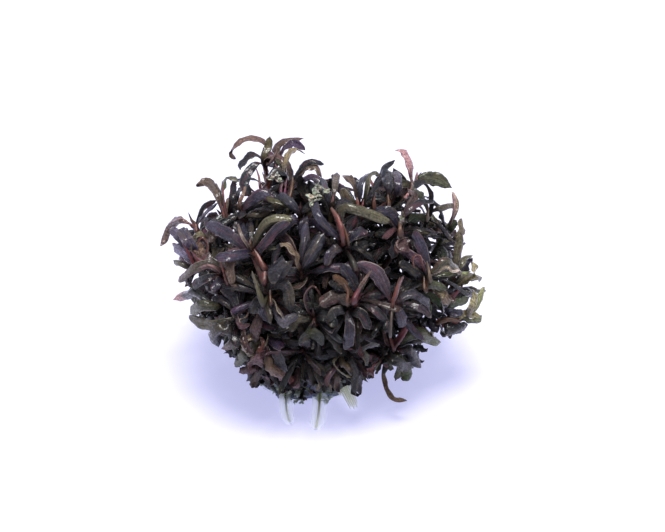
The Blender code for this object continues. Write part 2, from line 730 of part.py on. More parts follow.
def fits(shoot, slot, leaf, room):
    """Sets the leaf on its joint, if it is clear of the floor, of other shoots and of its own."""
    first = leaf_ring(leaf, leaf.stations[0])
    leaf.base = leaf_base(shoot, slot, first)
    away = (leaf.base[1] - leaf.base[0]).cross(leaf.base[2] - leaf.base[0]).normalized()
    if min((point - leaf.base[0]).dot(away) for point in first) < LEAST_SPLAY:
        return False
    if not room.is_free(shoot.name, leaf_room(leaf, 1.3 * GAP)):
        return False
    wanted = tree_of(own_room(leaf, 0.05 * MM))
    own = [stem_room(shoot, 0)] + [own_room(other, 0) for other in shoot.leaves.values()]
    if any(tree_of(solid).overlap(wanted) for solid in own):
        return False
    shoot.leaves[slot] = leaf
    if crosses_itself(shoot_mesh(shoot)):
        del shoot.leaves[slot]
        return False
    room.take(shoot.name, leaf_room(leaf, 0))
    return True


def grow_read_leaves(shoot, leaves, room):
    """The shoot's leaves that the photograph shows, each moved along the sight until it has room."""
    steps = [0, -1, 1, -2, 2, -3, 3, -4, 4, -6, 6]
    for pixels, width, tone in leaves:
        tries = [(step, slot) for step in steps for slot in shoot.free_slots()]
        for step, slot in tries:
            narrowed = width * (1 - 0.04 * abs(step))
            leaf = read_leaf(shoot, slot, pixels, narrowed, tone, step * NUDGE)
            if fits(shoot, slot, leaf, room):
                break


def grow_whorl(shoot, count, room, rng):
    """Leaves all round the crown, by the golden angle, until the shoot has count of them."""
    start = rng.uniform(0, math.tau)
    tones = ("violet", "grey", "dark", "brown", "olive", "violet", "dark", "rose")
    for k in range(7 * count):
        if len(shoot.leaves) >= count:
            return
        slot = shoot.free_slots()[0]
        leaf = whorl_leaf(
            shoot,
            slot,
            angle=start + k * GOLDEN_ANGLE + rng.uniform(-0.3, 0.3),
            length=WHORL_LEAF_LENGTH * rng.uniform(0.85, 1.15) * (1 - 0.015 * k),
            width=WHORL_LEAF_WIDTH * rng.uniform(0.85, 1.2),
            rise=math.radians(rng.uniform(15, 32) + 4 * slot),
            droop=math.radians(rng.uniform(90, 155) + 4 * slot),
            tone=rng.choice(tones),
        )
        tip = scaled(leaf.path[-1] - CANOPY_CENTRE, CANOPY_RADII)
        if tip.length < 1.04 and all(in_outline(point) for point in leaf.path[8::4]):
            fits(shoot, slot, leaf, room)


def spread_crowns(taken, count):
    """Crowns all over the canopy, each put where the canopy is emptiest."""
    inner = CANOPY_RADII - Vector((1, 1, 1)) * CROWN_DEPTH
    places = []
    for k in range(CROWN_PLACES):
        height = 1 - 2 * (k + 0.5) / CROWN_PLACES
        ring = math.sqrt(1 - height * height)
        angle = k * GOLDEN_ANGLE
        way = Vector((ring * math.cos(angle), ring * math.sin(angle), height))
        place = CANOPY_CENTRE + Vector((a * b for a, b in zip(way, inner)))
        if place.z > LOWEST_CROWN and in_outline(place + Vector((0, 0, CROWN_DEPTH))):
            places.append(place)
    crowns = []
    for _ in range(count):
        near = taken + crowns
        crowns.append(max(places, key=lambda place: min((place - one).length for one in near)))
    return crowns


def grow_shoots(mat_solid):
    """Every shoot, stems first, then the leaves of the photograph, then the whorls."""
    rng = random.Random(11)
    room = Room()
    room.take("mat", mat_solid)
    mat_tree = tree_of(mat_solid)
    for name, path, width in ROOTS:
        room.take(name, root_solid(root_path(path, mat_tree), width))
    crowns = {}
    for name, pixel, _, _ in NEAR_SHOOTS:
        crowns[name] = along_sight(pixel, canopy_distance(pixel, -CROWN_DEPTH))
    shoots, leaves = [], {}
    for name, _, tone, read in sorted(NEAR_SHOOTS, key=lambda near: crowns[near[0]].z):
        shoot = grow_stem("shoot_" + name, crowns[name], tone, room, mat_tree, rng)
        if shoot:
            shoots.append(shoot)
            leaves[shoot.name] = read
    taken = [shoot.stem[-1] for shoot in shoots]
    for crown in spread_crowns(taken, FAR_SHOOTS):
        name = f"shoot_back_{len(shoots) - len(taken) + 1:02d}"
        shoot = grow_stem(name, crown, "brown", room, mat_tree, rng)
        if shoot:
            shoots.append(shoot)
    for shoot in shoots:
        grow_read_leaves(shoot, leaves.get(shoot.name, ()), room)
    for shoot in shoots:
        grow_whorl(shoot, LEAVES_A_SHOOT, room, rng)
    return shoots


def root_path(path, mat_tree):
    """A root's middle line on the floor. It starts just off the mat."""
    points = [Vector((x, y, 0)) * MM for x, y in path]
    inward = (points[0] - points[1]).normalized()
    reaches = []
    for height in (0.5 * MM, 1.5 * MM, 2.5 * MM):
        hit = mat_tree.ray_cast(points[1] + Vector((0, 0, height)), inward)
        reaches.append(hit[3])
    points[0] = points[1] + inward * (min(reaches) - 1.5 * GAP)
    return smooth_path(points, 17)


def root_solid(points, width):
    """A root in its sleeve of hair, lying along the floor: flat below, round above, pointed."""
    rings = []
    for share, fullness in ((0.0, 0.62), (0.22, 0.95), (0.55, 1.0), (0.85, 0.72)):
        middle, tangent = path_at(points, share)
        across = tangent.cross(Vector((0, 0, 1)))
        half = width * MM * fullness / 2
        top = ROOT_HEIGHT * fullness * width * MM
        profile = ((-0.85, 0), (0.85, 0), (1.0, 0.4), (0.55, 0.92), (-0.55, 0.92), (-1.0, 0.4))
        rings.append([middle + across * half * s + Vector((0, 0, top * h)) for s, h in profile])
    return skin(rings, points[-1] + Vector((0, 0, 0.6 * MM)))


def mat_solid():
    """The mat of rhizome and felted root: a lumpy dome, cut flat where it stands."""
    bm = bmesh.new()
    bmesh.ops.create_uvsphere(bm, u_segments=14, v_segments=8, radius=1)
    for vert in bm.verts:
        lump = noise.noise(vert.co * 2.6) + 0.5 * noise.noise(vert.co * 5.5)
        vert.co = Vector((a * b for a, b in zip(vert.co, MAT_RADII))) + vert.co * lump * MAT_RELIEF
        vert.co += MAT_CENTRE + Vector((0, 0, 2 * MM))
    cut = bmesh.ops.bisect_plane(
        bm,
        geom=bm.verts[:] + bm.edges[:] + bm.faces[:],
        plane_co=(0, 0, 0),
        plane_no=(0, 0, -1),
        clear_outer=True,
    )
    rim = [item for item in cut["geom_cut"] if isinstance(item, bmesh.types.BMEdge)]
    bmesh.ops.holes_fill(bm, edges=rim)
    bmesh.ops.triangulate(bm, faces=bm.faces[:])
    bm.verts.index_update()
    points = [vert.co.copy() for vert in bm.verts]
    faces = [tuple(vert.index for vert in face.verts) for face in bm.faces]
    bm.free()
    return points, faces


def finish(name, colour, roughness):
    material = bpy.data.materials.new(name)
    material.use_nodes = True
    shader = material.node_tree.nodes["Principled BSDF"]
    shader.inputs["Base Color"].default_value = (*colour, 1)
    shader.inputs["Roughness"].default_value = roughness
    material.diffuse_color = (*colour, 1)
    return material


def new_object(name, bm, material):
    mesh = bpy.data.meshes.new(name)
    bm.to_mesh(mesh)
    bm.free()
    mesh.materials.append(material)
    bpy.context.scene.collection.objects.link(bpy.data.objects.new(name, mesh))


def closed_mesh(points, faces):
    """A bmesh of one closed solid, with its faces turned outwards."""
    bm = bmesh.new()
    verts = [bm.verts.new(point) for point in points]
    for face in faces:
        bm.faces.new([verts[k] for k in face])
    bmesh.ops.recalc_face_normals(bm, faces=bm.faces[:])
    return bm


def main():
    for obj in list(bpy.data.objects):
        bpy.data.objects.remove(obj)
    mat = mat_solid()
    new_object("rhizome_mat", closed_mesh(*mat), finish("rhizome_mat", *MAT_FINISH))
    for name, path, width in ROOTS:
        root = root_solid(root_path(path, tree_of(mat)), width)
        new_object(name, closed_mesh(*root), finish(name, *ROOT_FINISH))
    for shoot in grow_shoots(mat):
        tone = next(iter(shoot.leaves.values())).tone if shoot.leaves else shoot.tone
        new_object(shoot.name, shoot_mesh(shoot), finish(shoot.name, *TONES[tone]))


main()
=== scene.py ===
"""Looks of the bucephalandra clump: each leaf, stem, root and tuft of root hair as a modelled surface.

The layout is the one of the solids: the same shoots on the same mat, with the same leaves, found by
the same steps. Each shoot's solid is replaced by its detailed foliage, and the leaves, stems and side
branches that were too thin or too crowded to be solids are added to it. Metres, +Z up, the near side
is -Y.
"""

import math
import random

import bmesh
import bpy
import numpy as np
from mathutils import Matrix, Vector, noise
from mathutils.bvhtree import BVHTree
from mathutils.geometry import intersect_ray_tri


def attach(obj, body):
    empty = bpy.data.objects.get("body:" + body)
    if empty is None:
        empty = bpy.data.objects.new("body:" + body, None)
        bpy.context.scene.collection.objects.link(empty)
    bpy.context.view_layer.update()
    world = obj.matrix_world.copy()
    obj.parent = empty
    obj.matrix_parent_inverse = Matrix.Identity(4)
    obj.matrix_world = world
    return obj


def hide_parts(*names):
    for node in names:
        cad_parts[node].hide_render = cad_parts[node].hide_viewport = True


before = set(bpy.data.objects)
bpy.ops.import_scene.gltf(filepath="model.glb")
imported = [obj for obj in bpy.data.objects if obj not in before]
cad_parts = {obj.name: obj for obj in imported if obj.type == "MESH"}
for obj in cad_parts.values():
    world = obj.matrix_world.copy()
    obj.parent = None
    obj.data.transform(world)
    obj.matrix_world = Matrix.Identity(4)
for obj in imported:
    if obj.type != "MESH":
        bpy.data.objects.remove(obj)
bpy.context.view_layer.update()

MM = 0.001
UP = Vector((0, 0, 1))
GOLDEN_ANGLE = math.radians(137.5)

# Driving dimensions
CANOPY_CENTRE = Vector((7, 8, 50)) * MM
CANOPY_RADII = Vector((67, 56, 47)) * MM
MAT_CENTRE = Vector((1, 1, 0)) * MM
MAT_RADII = Vector((24, 22, 12.5)) * MM
MAT_HEART = MAT_CENTRE + Vector((0, 0, 2 * MM))
MAT_RELIEF = 2.2 * MM
GAP = 0.3 * MM
FLOOR_CLEARANCE = 2.5 * MM

CROWN_DEPTH = 9 * MM
STEM_FOOT_RADIUS = 1.6 * MM
STEM_TOP_RADIUS = 1.15 * MM
STEM_SIDES = 3
STEM_BUD = 1.6 * MM
STEM_BEND = 0.5
LEAF_SLOTS = 8
LEAF_SPACING = 1.6 * MM
PETIOLE_WIDTH = 0.95 * MM
KEEL_DEPTH = 0.75 * MM
WHORL_LEAF_LENGTH = 20 * MM
WHORL_LEAF_WIDTH = 5.2 * MM
LEAVES_A_SHOOT = 7
WHORL_TONES = ("violet", "grey", "dark", "brown", "olive", "violet", "dark", "rose")
FAR_SHOOTS = 19
CROWN_PLACES = 240
LOWEST_CROWN = 17 * MM
NUDGE = 1.2 * MM
LEAST_SPLAY = 0.1 * MM
ROOT_HEIGHT = 0.53

# Shares of a leaf's length, with how much of its full width it has there
READ_LEAF = ((0.28, 0.32), (0.50, 1.0), (0.77, 0.76))
WHORL_LEAF = ((0.42, 0.95), (0.74, 0.80))

# How the photograph was taken, to turn a pixel of it into a line of sight
PHOTO_WIDTH = 665
PHOTO_CENTRE = (332.5, 266.0)
FOCAL_PIXELS = 1744
EYE_DISTANCE = 0.75
VIEW_TILT = math.radians(34)
AIM = Vector((11.8, 25.0, 37.1)) * MM
PIXEL = EYE_DISTANCE / FOCAL_PIXELS

VIEW_RIGHT = Vector((1, 0, 0))
VIEW_UP = Vector((0, math.sin(VIEW_TILT), math.cos(VIEW_TILT)))
VIEW_IN = Vector((0, math.cos(VIEW_TILT), -math.sin(VIEW_TILT)))
EYE = AIM - VIEW_IN * EYE_DISTANCE

# Colour of each leaf tone, as linear RGB
TONES = {
    "violet": (0.028, 0.023, 0.041),
    "grey": (0.028, 0.029, 0.039),
    "dark": (0.007, 0.008, 0.012),
    "brown": (0.082, 0.055, 0.048),
    "olive": (0.060, 0.056, 0.036),
    "green": (0.034, 0.044, 0.022),
    "tan": (0.200, 0.140, 0.100),
    "straw": (0.130, 0.108, 0.055),
    "rose": (0.080, 0.030, 0.038),
    "red": (0.150, 0.040, 0.038),
    "pink": (0.430, 0.220, 0.230),
    "pale": (0.095, 0.092, 0.120),
    "blush": (0.270, 0.150, 0.145),
    "fawn": (0.150, 0.088, 0.070),
    "cream": (0.400, 0.340, 0.250),
    "coral": (0.185, 0.052, 0.040),
    "rust": (0.140, 0.060, 0.034),
    "wine": (0.150, 0.030, 0.042),
    "magenta": (0.190, 0.062, 0.110),
    "moss": (0.096, 0.084, 0.046),
    "mauve": (0.085, 0.058, 0.080),
    "sage": (0.400, 0.460, 0.340),
    "slate": (0.180, 0.200, 0.340),
}

# Shoots of the near side: name, pixel of the crown, tone of the stem, then for each leaf its tone, its
# width in pixels and the pixels that it passes from base to tip
NEAR_SHOOTS = (
    ("top_left", (264, 160), "red", (
        ("brown", 7, (267, 155), (265, 145), (252, 139), (238, 145), (232, 153), (236, 159)),
        ("moss", 9, (264, 158), (268, 147), (270, 136)),
        ("grey", 8, (263, 160), (253, 155), (243, 163), (240, 170)),
        ("grey", 10, (258, 163), (250, 170), (244, 183), (250, 196)),
        ("brown", 8, (266, 159), (280, 157), (288, 168), (290, 184)),
        ("brown", 8, (277, 157), (276, 147), (284, 141), (304, 138)),
        ("violet", 7, (280, 157), (285, 149), (293, 143), (305, 150)),
    )),
    ("top_mid", (286, 181), "red", (
        ("straw", 5, (284, 176), (287, 160), (295, 150), (305, 154)),
        ("dark", 7, (287, 175), (276, 167), (266, 178)),
        ("dark", 6, (292, 180), (303, 164), (312, 160), (324, 164)),
        ("brown", 7, (294, 181), (305, 168), (316, 166), (322, 178)),
        ("violet", 8, (294, 186), (304, 178), (314, 176), (326, 187)),
        ("grey", 9, (294, 187), (304, 186), (311, 198)),
    )),
    ("crest_left", (222, 216), "brown", (
        ("brown", 9, (222, 212), (217, 193), (207, 182), (196, 186)),
        ("tan", 5, (225, 214), (228, 198)),
        ("olive", 6, (223, 205), (224, 182), (232, 178), (241, 183)),
        ("dark", 7, (230, 208), (232, 196), (234, 182)),
    )),
    ("shoulder_left", (195, 226), "red", (
        ("brown", 8, (194, 226), (180, 219), (167, 226), (160, 246)),
        ("dark", 6, (196, 222), (203, 205), (216, 200)),
        ("violet", 8, (198, 224), (207, 212), (218, 203)),
        ("grey", 8, (196, 230), (186, 236), (182, 248)),
    )),
    ("left_upper", (194, 265), "red", (
        ("violet", 9, (192, 260), (184, 243), (171, 228)),
        ("rose", 10, (191, 262), (181, 251), (172, 243)),
        ("olive", 6, (190, 266), (181, 262), (173, 260)),
        ("straw", 6, (196, 262), (190, 246), (198, 235), (210, 241)),
    )),
    ("left_mid", (222, 276), "red", (
        ("olive", 10, (221, 272), (208, 264), (192, 270), (178, 281)),
        ("dark", 8, (218, 276), (205, 279), (193, 287)),
        ("violet", 9, (221, 279), (212, 291)),
        ("violet", 8, (222, 270), (232, 262), (243, 266)),
    )),
    ("left_low", (222, 298), "brown", (
        ("grey", 11, (210, 302), (192, 293), (184, 295), (173, 300)),
        ("dark", 11, (222, 285), (231, 296), (238, 308)),
        ("green", 11, (216, 306), (200, 306), (190, 314)),
    )),
    ("left_cup", (241, 314), "grey", (
        ("olive", 12, (238, 316), (220, 324), (205, 324), (189, 317)),
        ("violet", 5, (241, 311), (240, 298), (239, 286)),
        ("rose", 9, (245, 312), (236, 318), (240, 326), (250, 324)),
        ("violet", 9, (236, 310), (222, 300), (212, 298)),
    )),
    ("mid_left", (251, 250), "red", (
        ("tan", 4, (250, 247), (243, 236), (238, 223)),
        ("pink", 4, (249, 250), (238, 250), (227, 251)),
        ("brown", 8, (252, 256), (243, 254), (231, 262), (232, 285)),
        ("violet", 13, (247, 250), (230, 236), (206, 223)),
        ("violet", 10, (248, 253), (232, 256), (214, 258)),
        ("olive", 10, (254, 245), (262, 229), (272, 221), (293, 220)),
        ("violet", 9, (258, 252), (268, 240), (278, 228), (290, 222)),
    )),
    ("upper_left", (243, 212), "brown", (
        ("violet", 11, (243, 210), (252, 200), (264, 194), (275, 202)),
        ("tan", 6, (240, 206), (244, 195), (246, 186)),
        ("dark", 9, (238, 216), (228, 222), (218, 232)),
        ("olive", 7, (248, 216), (262, 214), (276, 206), (288, 206)),
    )),
    ("upper_mid", (300, 215), "brown", (
        ("grey", 9, (298, 212), (290, 202), (280, 192)),
        ("dark", 9, (303, 212), (312, 204), (318, 196)),
        ("violet", 9, (304, 218), (304, 231), (308, 243)),
        ("violet", 10, (297, 219), (285, 226), (278, 238)),
    )),
    ("centre", (300, 268), "brown", (
        ("tan", 4, (298, 268), (297, 256), (289, 246), (280, 243)),
        ("grey", 11, (304, 266), (314, 250), (324, 233)),
        ("violet", 10, (302, 258), (305, 240), (307, 222)),
        ("dark", 9, (296, 272), (286, 270), (274, 262)),
    )),
    ("mid_stem", (343, 242), "red", (
        ("red", 7, (342, 236), (338, 222), (331, 208)),
        ("olive", 10, (341, 211), (352, 209), (365, 212), (391, 222)),
        ("violet", 8, (338, 238), (326, 226), (316, 212), (314, 198)),
        ("dark", 9, (347, 240), (358, 232), (368, 232)),
        ("violet", 9, (340, 247), (330, 254), (326, 266)),
    )),
    ("upper_right_stem", (359, 204), "red", (
        ("brown", 5, (357, 198), (352, 182), (343, 175)),
        ("grey", 6, (359, 199), (361, 181), (369, 173)),
        ("dark", 5, (363, 200), (373, 190), (384, 169), (395, 160)),
        ("olive", 9, (354, 204), (346, 198), (342, 188)),
        ("olive", 4, (364, 192), (367, 176), (376, 171), (381, 177)),
    )),
    ("top_pair", (332, 206), "olive", (
        ("brown", 9, (333, 202), (335, 187), (337, 172)),
        ("grey", 7, (329, 203), (325, 190), (321, 177)),
        ("dark", 8, (336, 206), (345, 202), (352, 208)),
    )),
    ("right_pair", (390, 200), "brown", (
        ("grey", 10, (389, 193), (388, 182), (386, 169)),
        ("violet", 8, (396, 194), (398, 182), (397, 171)),
        ("dark", 9, (386, 202), (374, 200), (364, 206)),
    )),
    ("right_bud", (402, 224), "red", (
        ("grey", 8, (403, 218), (408, 210), (418, 203), (434, 200)),
        ("brown", 9, (404, 214), (414, 198), (408, 190), (396, 196)),
        ("violet", 10, (399, 224), (390, 212), (373, 212)),
        ("tan", 5, (402, 220), (402, 210)),
    )),
    ("right_top", (413, 186), "pink", (
        ("pink", 7, (412, 182), (411, 168), (408, 157), (403, 150), (395, 150)),
        ("olive", 13, (416, 184), (424, 178), (438, 180), (452, 188)),
        ("pink", 4, (415, 181), (417, 172)),
        ("olive", 8, (409, 186), (400, 184), (392, 180)),
    )),
    ("far_right_top", (430, 216), "green", (
        ("olive", 6, (431, 212), (442, 205), (459, 203)),
        ("dark", 7, (430, 207), (428, 190), (421, 183), (415, 190)),
        ("green", 9, (427, 218), (418, 216), (408, 222)),
    )),
    ("far_right", (448, 230), "green", (
        ("dark", 6, (444, 222), (440, 208), (432, 200)),
        ("tan", 6, (451, 220), (456, 206), (452, 192)),
        ("green", 9, (450, 228), (456, 220)),
        ("olive", 8, (456, 240), (462, 232), (462, 218)),
    )),
    ("right_mauve", (393, 303), "red", (
        ("mauve", 13, (390, 300), (380, 277), (368, 268), (354, 263)),
        ("pink", 5, (394, 300), (398, 287), (404, 275)),
        ("violet", 11, (387, 300), (384, 314), (388, 332)),
        ("violet", 11, (397, 308), (402, 318), (403, 328)),
        ("grey", 12, (398, 302), (408, 295), (420, 297), (430, 311)),
    )),
    ("centre_red", (358, 297), "red", (
        ("rust", 7, (353, 296), (344, 284), (332, 275)),
        ("violet", 12, (357, 290), (350, 276), (341, 263)),
        ("tan", 5, (360, 290), (366, 280), (372, 270)),
        ("brown", 12, (351, 301), (335, 297), (319, 306)),
    )),
    ("right_spear", (428, 276), "olive", (
        ("violet", 10, (427, 272), (423, 252), (414, 231)),
        ("olive", 10, (431, 272), (446, 261), (462, 273)),
        ("green", 8, (425, 284), (435, 285), (447, 290)),
        ("tan", 4, (428, 274), (427, 262)),
        ("mauve", 10, (422, 268), (412, 256), (398, 248)),
    )),
    ("right_fan", (455, 288), "red", (
        ("olive", 8, (452, 284), (465, 273), (482, 277)),
        ("olive", 8, (455, 270), (458, 252), (461, 232)),
        ("olive", 7, (456, 268), (463, 257), (473, 255)),
        ("straw", 5, (460, 283), (474, 274), (471, 262)),
        ("dark", 8, (460, 290), (470, 291), (478, 298)),
    )),
    ("right_low_fan", (450, 318), "red", (
        ("moss", 6, (460, 319), (476, 310), (482, 298), (485, 287)),
        ("moss", 8, (457, 318), (469, 314), (481, 316)),
        ("red", 5, (440, 320), (449, 317), (462, 321)),
        ("dark", 10, (448, 326), (458, 329), (468, 325)),
        ("violet", 9, (444, 314), (434, 312), (430, 322), (437, 333)),
    )),
    ("right_low", (394, 345), "red", (
        ("green", 12, (399, 342), (410, 335), (422, 333), (441, 342)),
        ("red", 5, (394, 340), (402, 330), (412, 320)),
        ("dark", 12, (398, 349), (410, 352), (421, 368)),
        ("green", 10, (399, 357), (401, 370), (395, 381)),
        ("pink", 4, (388, 342), (385, 333), (384, 325)),
    )),
    ("right_trail", (385, 356), "brown", (
        ("brown", 7, (384, 360), (382, 378), (388, 396), (397, 402), (407, 401)),
        ("violet", 9, (381, 352), (370, 340), (360, 339), (352, 352)),
        ("red", 8, (379, 358), (370, 365), (372, 378)),
    )),
    ("front_low", (348, 350), "brown", (
        ("straw", 9, (341, 358), (348, 369), (353, 377)),
        ("grey", 7, (345, 352), (329, 350), (333, 343), (341, 348)),
        ("dark", 9, (352, 358), (358, 376), (356, 395)),
        ("olive", 9, (353, 348), (363, 354), (368, 366)),
    )),
    ("front_centre", (328, 366), "brown", (
        ("rose", 8, (324, 366), (317, 372), (320, 386)),
        ("tan", 8, (330, 370), (337, 378), (336, 390)),
        ("grey", 8, (322, 362), (309, 362), (297, 346)),
    )),
    ("front_left", (262, 336), "brown", (
        ("straw", 10, (261, 338), (254, 345), (247, 356)),
        ("rose", 13, (264, 342), (262, 354), (254, 365)),
        ("grey", 12, (268, 342), (278, 356), (283, 380)),
        ("dark", 9, (270, 334), (279, 330), (288, 338)),
    )),
    ("left_bottom", (244, 338), "grey", (
        ("violet", 11, (240, 336), (226, 329), (208, 327)),
        ("brown", 8, (241, 341), (231, 342), (221, 349)),
        ("green", 9, (246, 346), (243, 356), (235, 367)),
    )),
    ("bottom_left", (255, 366), "grey", (
        ("rose", 9, (259, 366), (249, 370), (239, 373)),
        ("dark", 10, (267, 367), (273, 377), (270, 388)),
        ("brown", 8, (261, 369), (254, 380), (252, 388)),
    )),
    ("centre_left", (268, 296), "brown", (
        ("grey", 11, (270, 292), (276, 284), (287, 288), (291, 313)),
        ("olive", 8, (264, 292), (257, 284), (251, 273)),
        ("dark", 10, (264, 299), (256, 304), (252, 314)),
    )),
    ("centre_low", (314, 316), "red", (
        ("violet", 14, (314, 322), (310, 334), (303, 346)),
        ("red", 6, (308, 310), (305, 296), (313, 286), (321, 296)),
        ("dark", 10, (319, 316), (329, 318), (337, 328)),
        ("olive", 9, (308, 317), (296, 320), (290, 332)),
    )),
    ("centre_right", (348, 308), "grey", (
        ("violet", 10, (348, 314), (350, 331), (347, 350)),
        ("dark", 10, (353, 311), (364, 316), (370, 330)),
        ("grey", 9, (343, 310), (334, 312), (328, 322)),
    )),
)

# Roots along the floor: name, the points that its middle passes in millimetres, width of its sleeve
ROOTS = (
    ("root_front_left", ((-8, -20), (-7.2, -30), (-5.4, -36.6)), 6.2),
    ("root_front_right", ((6.6, -20), (6.0, -32), (4.8, -40.4)), 7.2),
    ("root_stub", ((13, -15), (18.4, -22.4), (21.4, -27.6)), 5.0),
    ("root_back_left", ((-15, 15), (-23.5, 21.5), (-27, 29)), 4.4),
    ("root_back_right", ((14, 18), (21, 27), (29, 30.5)), 4.8),
)

# Outline of the photographed clump without its stray leaves, clockwise in pixels
OUTLINE = (
    (176, 268), (184, 246), (182, 228), (196, 214), (206, 200), (222, 196), (226, 182), (240, 180),
    (244, 165), (262, 162), (272, 150), (284, 160), (290, 176), (302, 168), (322, 168), (328, 180),
    (340, 175), (350, 184), (362, 178), (378, 172), (396, 170), (406, 182), (424, 184), (434, 196),
    (446, 206), (456, 222), (464, 238), (468, 262), (478, 276), (482, 292), (478, 314), (466, 328),
    (452, 338), (438, 340), (420, 350), (414, 366), (402, 378), (388, 372), (374, 378), (360, 388),
    (350, 392), (336, 396), (310, 402), (284, 398), (262, 390), (248, 378), (236, 364), (222, 350),
    (214, 334), (200, 324), (190, 308), (184, 292), (180, 282),
)


def between(low, high, share):
    return low + (high - low) * share


def clamp(value, low, high):
    return max(low, min(high, value))


def sight(pixel):
    """The unit direction from the eye through a pixel of the photograph."""
    across = VIEW_RIGHT * (pixel[0] - PHOTO_CENTRE[0])
    up = VIEW_UP * (PHOTO_CENTRE[1] - pixel[1])
    return ((across + up) / FOCAL_PIXELS + VIEW_IN).normalized()


def photo_pixel(point):
    """The pixel of the photograph that a point would be seen at."""
    away = point - EYE
    scale = FOCAL_PIXELS / away.dot(VIEW_IN)
    return PHOTO_CENTRE[0] + away.dot(VIEW_RIGHT) * scale, PHOTO_CENTRE[1] - away.dot(VIEW_UP) * scale


def in_outline(point):
    """Whether a point would be seen inside the photographed outline."""
    x, y = photo_pixel(point)
    inside = False
    for (x0, y0), (x1, y1) in zip(OUTLINE, OUTLINE[1:] + OUTLINE[:1]):
        if (y0 > y) != (y1 > y) and x < x0 + (x1 - x0) * (y - y0) / (y1 - y0):
            inside = not inside
    return inside


def scaled(vector, radii):
    return Vector((vector.x / radii.x, vector.y / radii.y, vector.z / radii.z))


def canopy_distance(pixel, lift):
    """How far along its line of sight a pixel meets the canopy raised by lift, or passes it closest."""
    radii = CANOPY_RADII + Vector((lift, lift, lift))
    start = scaled(EYE - CANOPY_CENTRE, radii)
    step = scaled(sight(pixel), radii)
    nearest = -start.dot(step) / step.dot(step)
    spare = nearest**2 - (start.dot(start) - 1) / step.dot(step)
    return nearest - math.sqrt(max(spare, 0))


def along_sight(pixel, distance):
    return EYE + sight(pixel) * distance


def outward(point):
    """The canopy's outward direction at a point in it."""
    return scaled(scaled(point - CANOPY_CENTRE, CANOPY_RADII), CANOPY_RADII).normalized()


def canopy_reach(point):
    """How far out a point lies: 0 at the canopy's middle, 1 at its surface."""
    return scaled(point - CANOPY_CENTRE, CANOPY_RADII).length


def nearest_gap(place, others):
    """The distance from a place to the nearest of the others."""
    return min((place - other).length for other in others)


def smooth_path(points, count):
    """count points, evenly spaced along the Catmull-Rom curve through the given ones."""
    ends = [points[0] * 2 - points[1], *points, points[-1] * 2 - points[-2]]
    dense = []
    for before, start, stop, after in zip(ends, ends[1:], ends[2:], ends[3:]):
        for step in range(8):
            t = step / 8
            bend = (before * 2 - start * 5 + stop * 4 - after) * t * t
            twist = (start * 3 - before - stop * 3 + after) * t * t * t
            dense.append((start * 2 + (stop - before) * t + bend + twist) / 2)
    dense.append(points[-1].copy())
    reach = [0.0]
    for a, b in zip(dense, dense[1:]):
        reach.append(reach[-1] + (b - a).length)
    path, k = [], 0
    for i in range(count):
        goal = reach[-1] * i / (count - 1)
        while k < len(reach) - 2 and reach[k + 1] < goal:
            k += 1
        path.append(dense[k].lerp(dense[k + 1], (goal - reach[k]) / (reach[k + 1] - reach[k])))
    return path


def path_at(path, share):
    """The point and the unit tangent at a share, 0 to 1, of an evenly spaced path."""
    place = clamp(share, 0, 1) * (len(path) - 1)
    k = min(int(place), len(path) - 2)
    return path[k].lerp(path[k + 1], place - k), (path[k + 1] - path[k]).normalized()


class Leaf:
    """One leaf: its middle line from inside the stem to the tip, the way across it, width and tone."""

    def __init__(self, points, side, width, tone, stations):
        self.path = smooth_path(points, 25)
        self.side = side.normalized()
        self.width = width
        self.tone = tone
        self.stations = stations
        self.base = None
        self.pixels = None

    def frame(self, share):
        """Middle, way across and upper side's normal at a share of the length."""
        middle, tangent = path_at(self.path, share)
        across = (self.side - tangent * self.side.dot(tangent)).normalized()
        return middle, across, across.cross(tangent)

    def is_inside(self):
        """Whether its outer two thirds would be seen inside the photographed outline."""
        return all(in_outline(point) for point in self.path[8::4])


class Shoot:
    """A stem, from foot to bud, and the leaves on it."""

    def __init__(self, name, stem, tone):
        self.name = name
        self.stem = stem
        self.tone = tone
        self.leaves = {}
        self.length = sum((b - a).length for a, b in zip(stem, stem[1:]))

    def share_below_bud(self, joints):
        """The share of the stem's length that lies below so many joints, counted from the bud."""
        return 1 - joints * LEAF_SPACING / self.length

    def joint(self, slot):
        """Where a slot's leaf leaves the stem, and the stem's way there. Slot 0 is the highest."""
        return path_at(self.stem, self.share_below_bud(slot + 0.5))

    def free_slots(self):
        return [slot for slot in range(LEAF_SLOTS) if slot not in self.leaves]


def tube_rings(path, stations, sides):
    """Rings of points round a path, without twist, at each station's share and radius."""
    _, tangent = path_at(path, 0)
    across = tangent.orthogonal().normalized()
    rings = []
    for share, radius in stations:
        middle, tangent = path_at(path, share)
        across = (across - tangent * across.dot(tangent)).normalized()
        turns = (Matrix.Rotation(math.tau * k / sides, 3, tangent) for k in range(sides))
        rings.append([middle + turn @ across * radius for turn in turns])
    return rings


def skin(rings, tip):
    """Points and faces of a closed solid over rings of equal size, flat at the first, pointed at tip."""
    sides = len(rings[0])
    points = [point for ring in rings for point in ring] + [tip]
    faces = [tuple(reversed(range(sides)))]
    for start in range(0, sides * (len(rings) - 1), sides):
        for k in range(sides):
            a, b = start + k, start + (k + 1) % sides
            faces.append((a, b, b + sides, a + sides))
    last = sides * (len(rings) - 1)
    faces += [(last + k, last + (k + 1) % sides, len(points) - 1) for k in range(sides)]
    return points, faces


def leaf_ring(leaf, station, margin=0.0):
    """A keeled section of a leaf: right edge, keel, left edge. margin grows it all round."""
    share, fullness = station
    middle, across, up = leaf.frame(share)
    half = max(leaf.width * fullness, PETIOLE_WIDTH) / 2 + 1.5 * margin
    keel = KEEL_DEPTH * between(1.15, 0.75, share) + margin
    face = middle + up * margin
    return [face + across * half, middle - up * keel, face - across * half]


